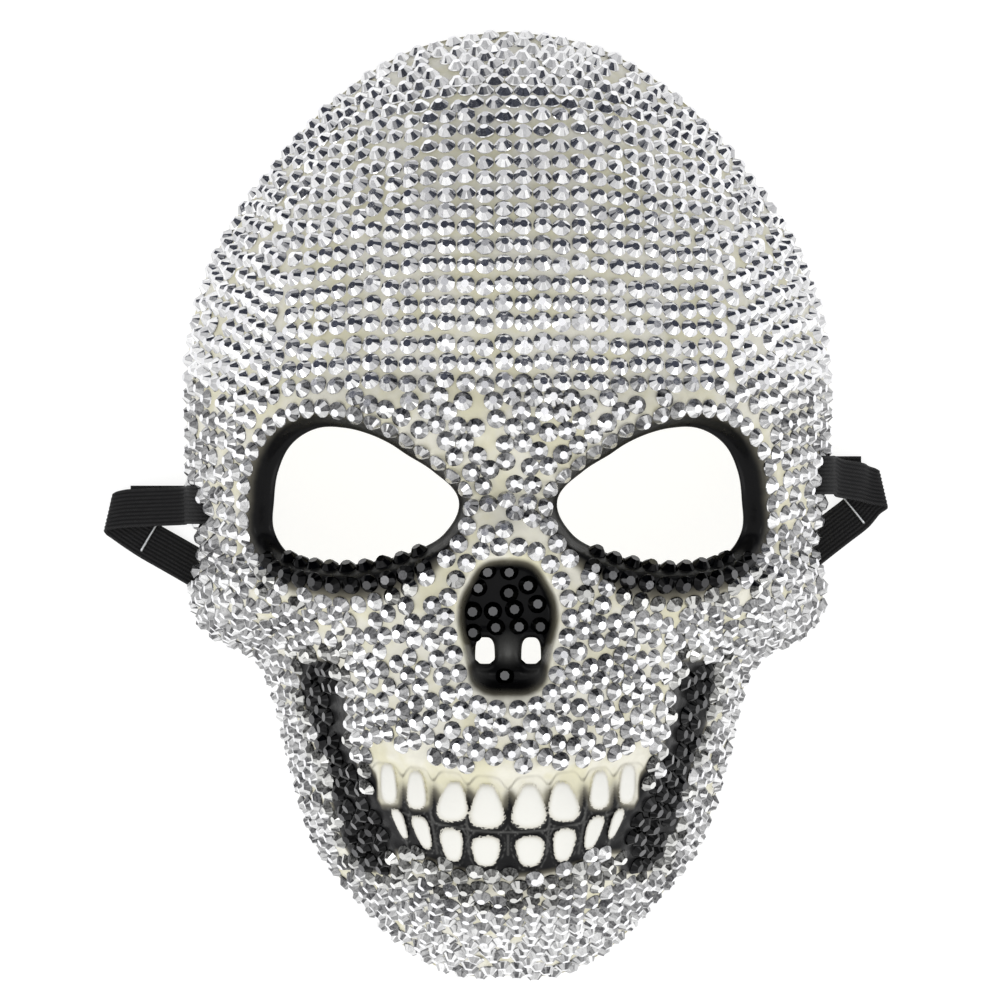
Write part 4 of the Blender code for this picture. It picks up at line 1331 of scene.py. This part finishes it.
# beside the grooves, under the eye holes and under the teeth some stones are silver ones painted darker:
# painted dark reflections
underTeeth = (np.abs(x) / halfW < 0.42) & (y / halfL < -0.74)
underTeeth &= y / halfL > -0.865 + 0.50 * (x / halfW) ** 2
underLid = (eyeAway(x, y) < 0.0125) & (np.sin(np.radians(eyeAngle(x, y))) < -0.55)
darkReflecting = np.zeros(len(spots), bool)
for zone, share in ((underLid, 0.6), (-grooveInside(x, y) < 0.0038, 0.8), (underTeeth, 0.75)):
    darkReflecting |= zone & (random.random(len(spots)) < share)
forehead = y > field["foreheadFrom"]
jaw = y <= field["jawBelow"]
# below the forehead the stones take darker painted reflections, and their upward facets are painted darker
# still
for name, chosen, look, upReflectionDark in (
    ("foreheadStones", ~darkReflecting & forehead, silverLook, 0.0),
    ("cheekStones", ~darkReflecting & ~forehead & ~jaw, silverDarkerReflectionsBelow, 0.60),
    ("jawStones", ~darkReflecting & jaw, silverDarkerReflectionsBelow, 0.90),
    ("darkReflectingStones", darkReflecting, darkReflectingLook, 1.30),
):
    thing = stoneField(name, spots[chosen], facing[chosen], look, stone["tableSilver"], 4.2, upReflectionDark)
    placePiece(thing, "silver_stone")

grooveDark = grooveSpots(spots)
lids = lidSpots()
noseDark = lift(*(np.array(nosePlaces) * mm).T)
noseFacing = outerNormals(*noseDark[:, :2].T) * 0.4 + np.array((0, 0, 0.6))
for name, places, normals, tilt, lowTint, part in (
    ("grooveStones", grooveDark, outerNormals(*grooveDark[:, :2].T), 3.5, 0.0, None),
    ("lidStones", lids, outerNormals(*lids[:, :2].T), 3.0, 0.0, "eye_stone"),
    ("noseStones", noseDark, noseFacing, 3.0, 0.3, "nose_stone"),
):
    thing = stoneField(name, places, normals, blackLook, stone["tableBlack"], tilt, lowTint=lowTint)
    placePiece(thing, "black_stone", *[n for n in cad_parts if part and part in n])
    print(name, len(places))


# each lamp's power stands under its name
studio = {
    "floor": (0.30, 0.30, 0.30), "floorDust": (0.28, 0.28, 0.28), "floorGlow": 0.82,
    "cameraHeight": 1.8, "fieldDegrees": 8.32, "aimX": 0.00108, "aimY": 0.00063,
    "pale": (1.0, 1.0, 1.0), "dark": (0.050, 0.055, 0.075), "patch": (0.90, 0.90, 0.90),
    "patchDegrees": 10, "patchInner": 19, "patchOuter": 28, "patchShare": 0.75, "strength": 1.06,
    "lampSize": 0.5, "leftLamp": 2.2, "rightLamp": 2.0,
}


def addThing(name, data, place):
    thing = bpy.data.objects.new(name, data)
    bpy.context.scene.collection.objects.link(thing)
    thing.location = place
    return thing


def addLamp(name, place):
    data = bpy.data.lights.new(name, "AREA")
    data.shape = "RECTANGLE"
    data.size = data.size_y = studio["lampSize"]
    data.energy = studio[name]
    thing = addThing(name, data, place)
    thing.rotation_euler = (-Vector(place)).to_track_quat("-Z", "Y").to_euler()


def buildRoom():
    # the room is dark beyond the forehead, with one pale patch low down there
    world = bpy.data.worlds.new("softRoom")
    bpy.context.scene.world = world
    world.use_nodes = True
    tree = world.node_tree
    way = putNode(tree, "ShaderNodeTexCoord").outputs["Generated"]
    beyond = putNode(tree, "ShaderNodeSeparateXYZ", {"Vector": way}).outputs["Y"]
    room = mixColours(tree, mapRange(tree, beyond, 0.36, 0.44), studio["pale"], studio["dark"])
    low = math.radians(studio["patchDegrees"])
    aim = {0: way, 1: (0, math.cos(low), math.sin(low))}
    aim = putNode(tree, "ShaderNodeVectorMath", aim, operation="DOT_PRODUCT").outputs["Value"]
    outer, inner = (math.cos(math.radians(studio[key])) for key in ("patchOuter", "patchInner"))
    patch = mapRange(tree, aim, outer, inner, 0.0, studio["patchShare"])
    room = mixColours(tree, patch, room, studio["patch"])
    setInputs(tree, tree.nodes["Background"], {"Color": room, "Strength": studio["strength"]})


def buildStudio():
    scene = bpy.context.scene
    corners = [(-3, -3, 0), (3, -3, 0), (3, 3, 0), (-3, 3, 0)]
    floor = addMesh("floorSheet", corners, [(0, 1, 2, 3)], smooth=False)
    slot, tree, shader = newMaterial("paleFloor")
    grain = placeGrain(tree, 60.0, 3.0, 0.3, 0.7)
    colour = mixColours(tree, times(tree, grain["Mask"], 0.3), studio["floor"], studio["floorDust"])
    setInputs(tree, shader, {
        "Base Color": colour, "Roughness": 0.7,
        "Emission Color": (1, 1, 1), "Emission Strength": studio["floorGlow"],
    })
    floor.data.materials.append(slot)
    buildRoom()
    addLamp("leftLamp", (-1.0, -0.3, 0.9))
    addLamp("rightLamp", (1.0, -0.3, 0.9))
    data = bpy.data.cameras.new("viewer")
    data.sensor_width = 36
    data.lens = data.sensor_width / 2 / math.tan(math.radians(studio["fieldDegrees"] / 2))
    data.clip_start = 0.05
    data.clip_end = 20
    place = (studio["aimX"], studio["aimY"], studio["cameraHeight"])
    scene.camera = addThing("viewer", data, place)
    scene.view_settings.view_transform = "Standard"
    scene.view_settings.exposure = 0.0


buildStudio()
print("pieces placed")
